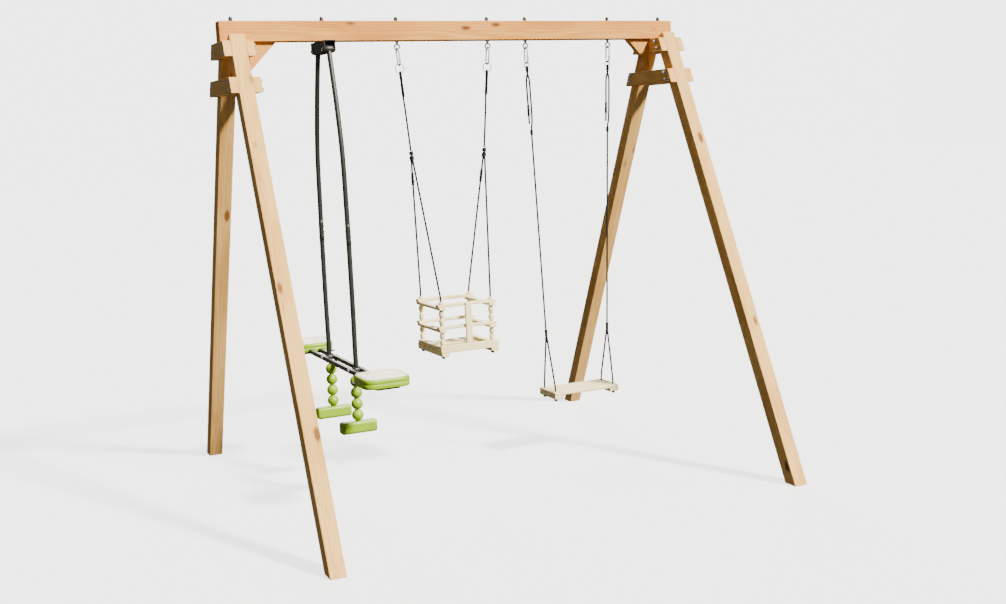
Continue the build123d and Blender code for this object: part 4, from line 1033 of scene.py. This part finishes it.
battens.build("plank_seat_body", "pale_wood", "plank_battens")
knots.build("plank_seat_body", "black_plastic", "plank_end_knots")
adjusters.build("plank_lines", "black_plastic", "plank_rope_fittings")

# ---------------------------------------------------------------- steel parts of the model

STEEL = (
    "brace_bolts", "brace_nuts", "eye_bolts", "glider_top_pins", "glider_lower_pins",
    "baby_carabiners", "baby_rings", "baby_gate_left", "baby_gate_right",
    "plank_carabiners", "plank_rings", "plank_gate_left", "plank_gate_right",
)
DARK = ("beam_bolts", "beam_nuts", "knee_screws", "glider_seat_screws")
BLACK = ("glider_bracket",)
for nodes, material in ((STEEL, ZINC), (DARK, DARK_STEEL), (BLACK, BLACK_METAL)):
    for node in nodes:
        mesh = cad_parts[node].data
        mesh.materials.clear()
        mesh.materials.append(material)

# ---------------------------------------------------------------- floor and light


def stage_sheet(name, corners, faces, glow, albedo):
    """Plain pale part of the studio; it shows, but casts no light or shade on the swing set."""
    mesh = bpy.data.meshes.new(name)
    mesh.from_pydata(corners, [], faces)
    paint = Paint(name + "_paint", roughness=1.0, specular=0.0)
    tone = paint.noise(paint.place(), 0.5, 2.0)
    paint.shader.inputs["Emission Color"].default_value = (1.0, 1.0, 1.0, 1.0)
    paint.shader.inputs["Emission Strength"].default_value = glow
    low = (albedo, albedo, albedo, 1.0)
    high = (albedo * 1.03, albedo * 1.03, albedo * 1.03, 1.0)
    mesh.materials.append(paint.finish(paint.mix(tone, low, high)))
    sheet = bpy.data.objects.new(name, mesh)
    sheet.visible_diffuse = False
    sheet.visible_glossy = False
    sheet.visible_shadow = False
    bpy.context.scene.collection.objects.link(sheet)


def lamp(name, kind, place, target, power, colour, spread):
    """Lamp that faces a point; spread is a square lamp's side or the sun's angle."""
    data = bpy.data.lights.new(name, kind)
    data.energy = power
    data.color = colour
    if kind == "SUN":
        data.angle = spread
    else:
        data.size = spread
    obj = bpy.data.objects.new(name, data)
    direction = Vector(target) - Vector(place)
    turn = direction.to_track_quat("-Z", "Y").to_matrix().to_4x4()
    obj.matrix_world = Matrix.Translation(place) @ turn
    bpy.context.scene.collection.objects.link(obj)


REACH = 60.0
SUBJECT = (0, 0, 1.2)
FLOOR_Z = -0.0005
SQUARE = ((-REACH, -REACH), (REACH, -REACH), (REACH, REACH), (-REACH, REACH))
low_corners = [(x, y, FLOOR_Z) for x, y in SQUARE]
high_corners = [(x, y, REACH) for x, y in SQUARE]
wall_faces = [(i, (i + 1) % 4, (i + 1) % 4 + 4, i + 4) for i in range(4)]
stage_sheet("floor", low_corners, [(0, 1, 2, 3)], 2.6, 0.45)
stage_sheet("backdrop", low_corners + high_corners, wall_faces, 4.0, 0.02)
lamp("key", "SUN", (4.5, -8.0, 9.0), SUBJECT, 14.0, (1.0, 0.95, 0.86), math.radians(7))
lamp("fill", "AREA", (-7.0, -6.0, 4.0), SUBJECT, 30, (0.95, 0.97, 1.0), 5.0)
lamp("rim", "SUN", (3.0, 9.0, 6.0), SUBJECT, 2.5, (1.0, 1.0, 1.0), math.radians(30))
world = bpy.data.worlds.new("studio")
world.use_nodes = True
world.node_tree.nodes["Background"].inputs["Color"].default_value = (1.0, 1.0, 1.0, 1.0)
world.node_tree.nodes["Background"].inputs["Strength"].default_value = 0.16
bpy.context.scene.world = world
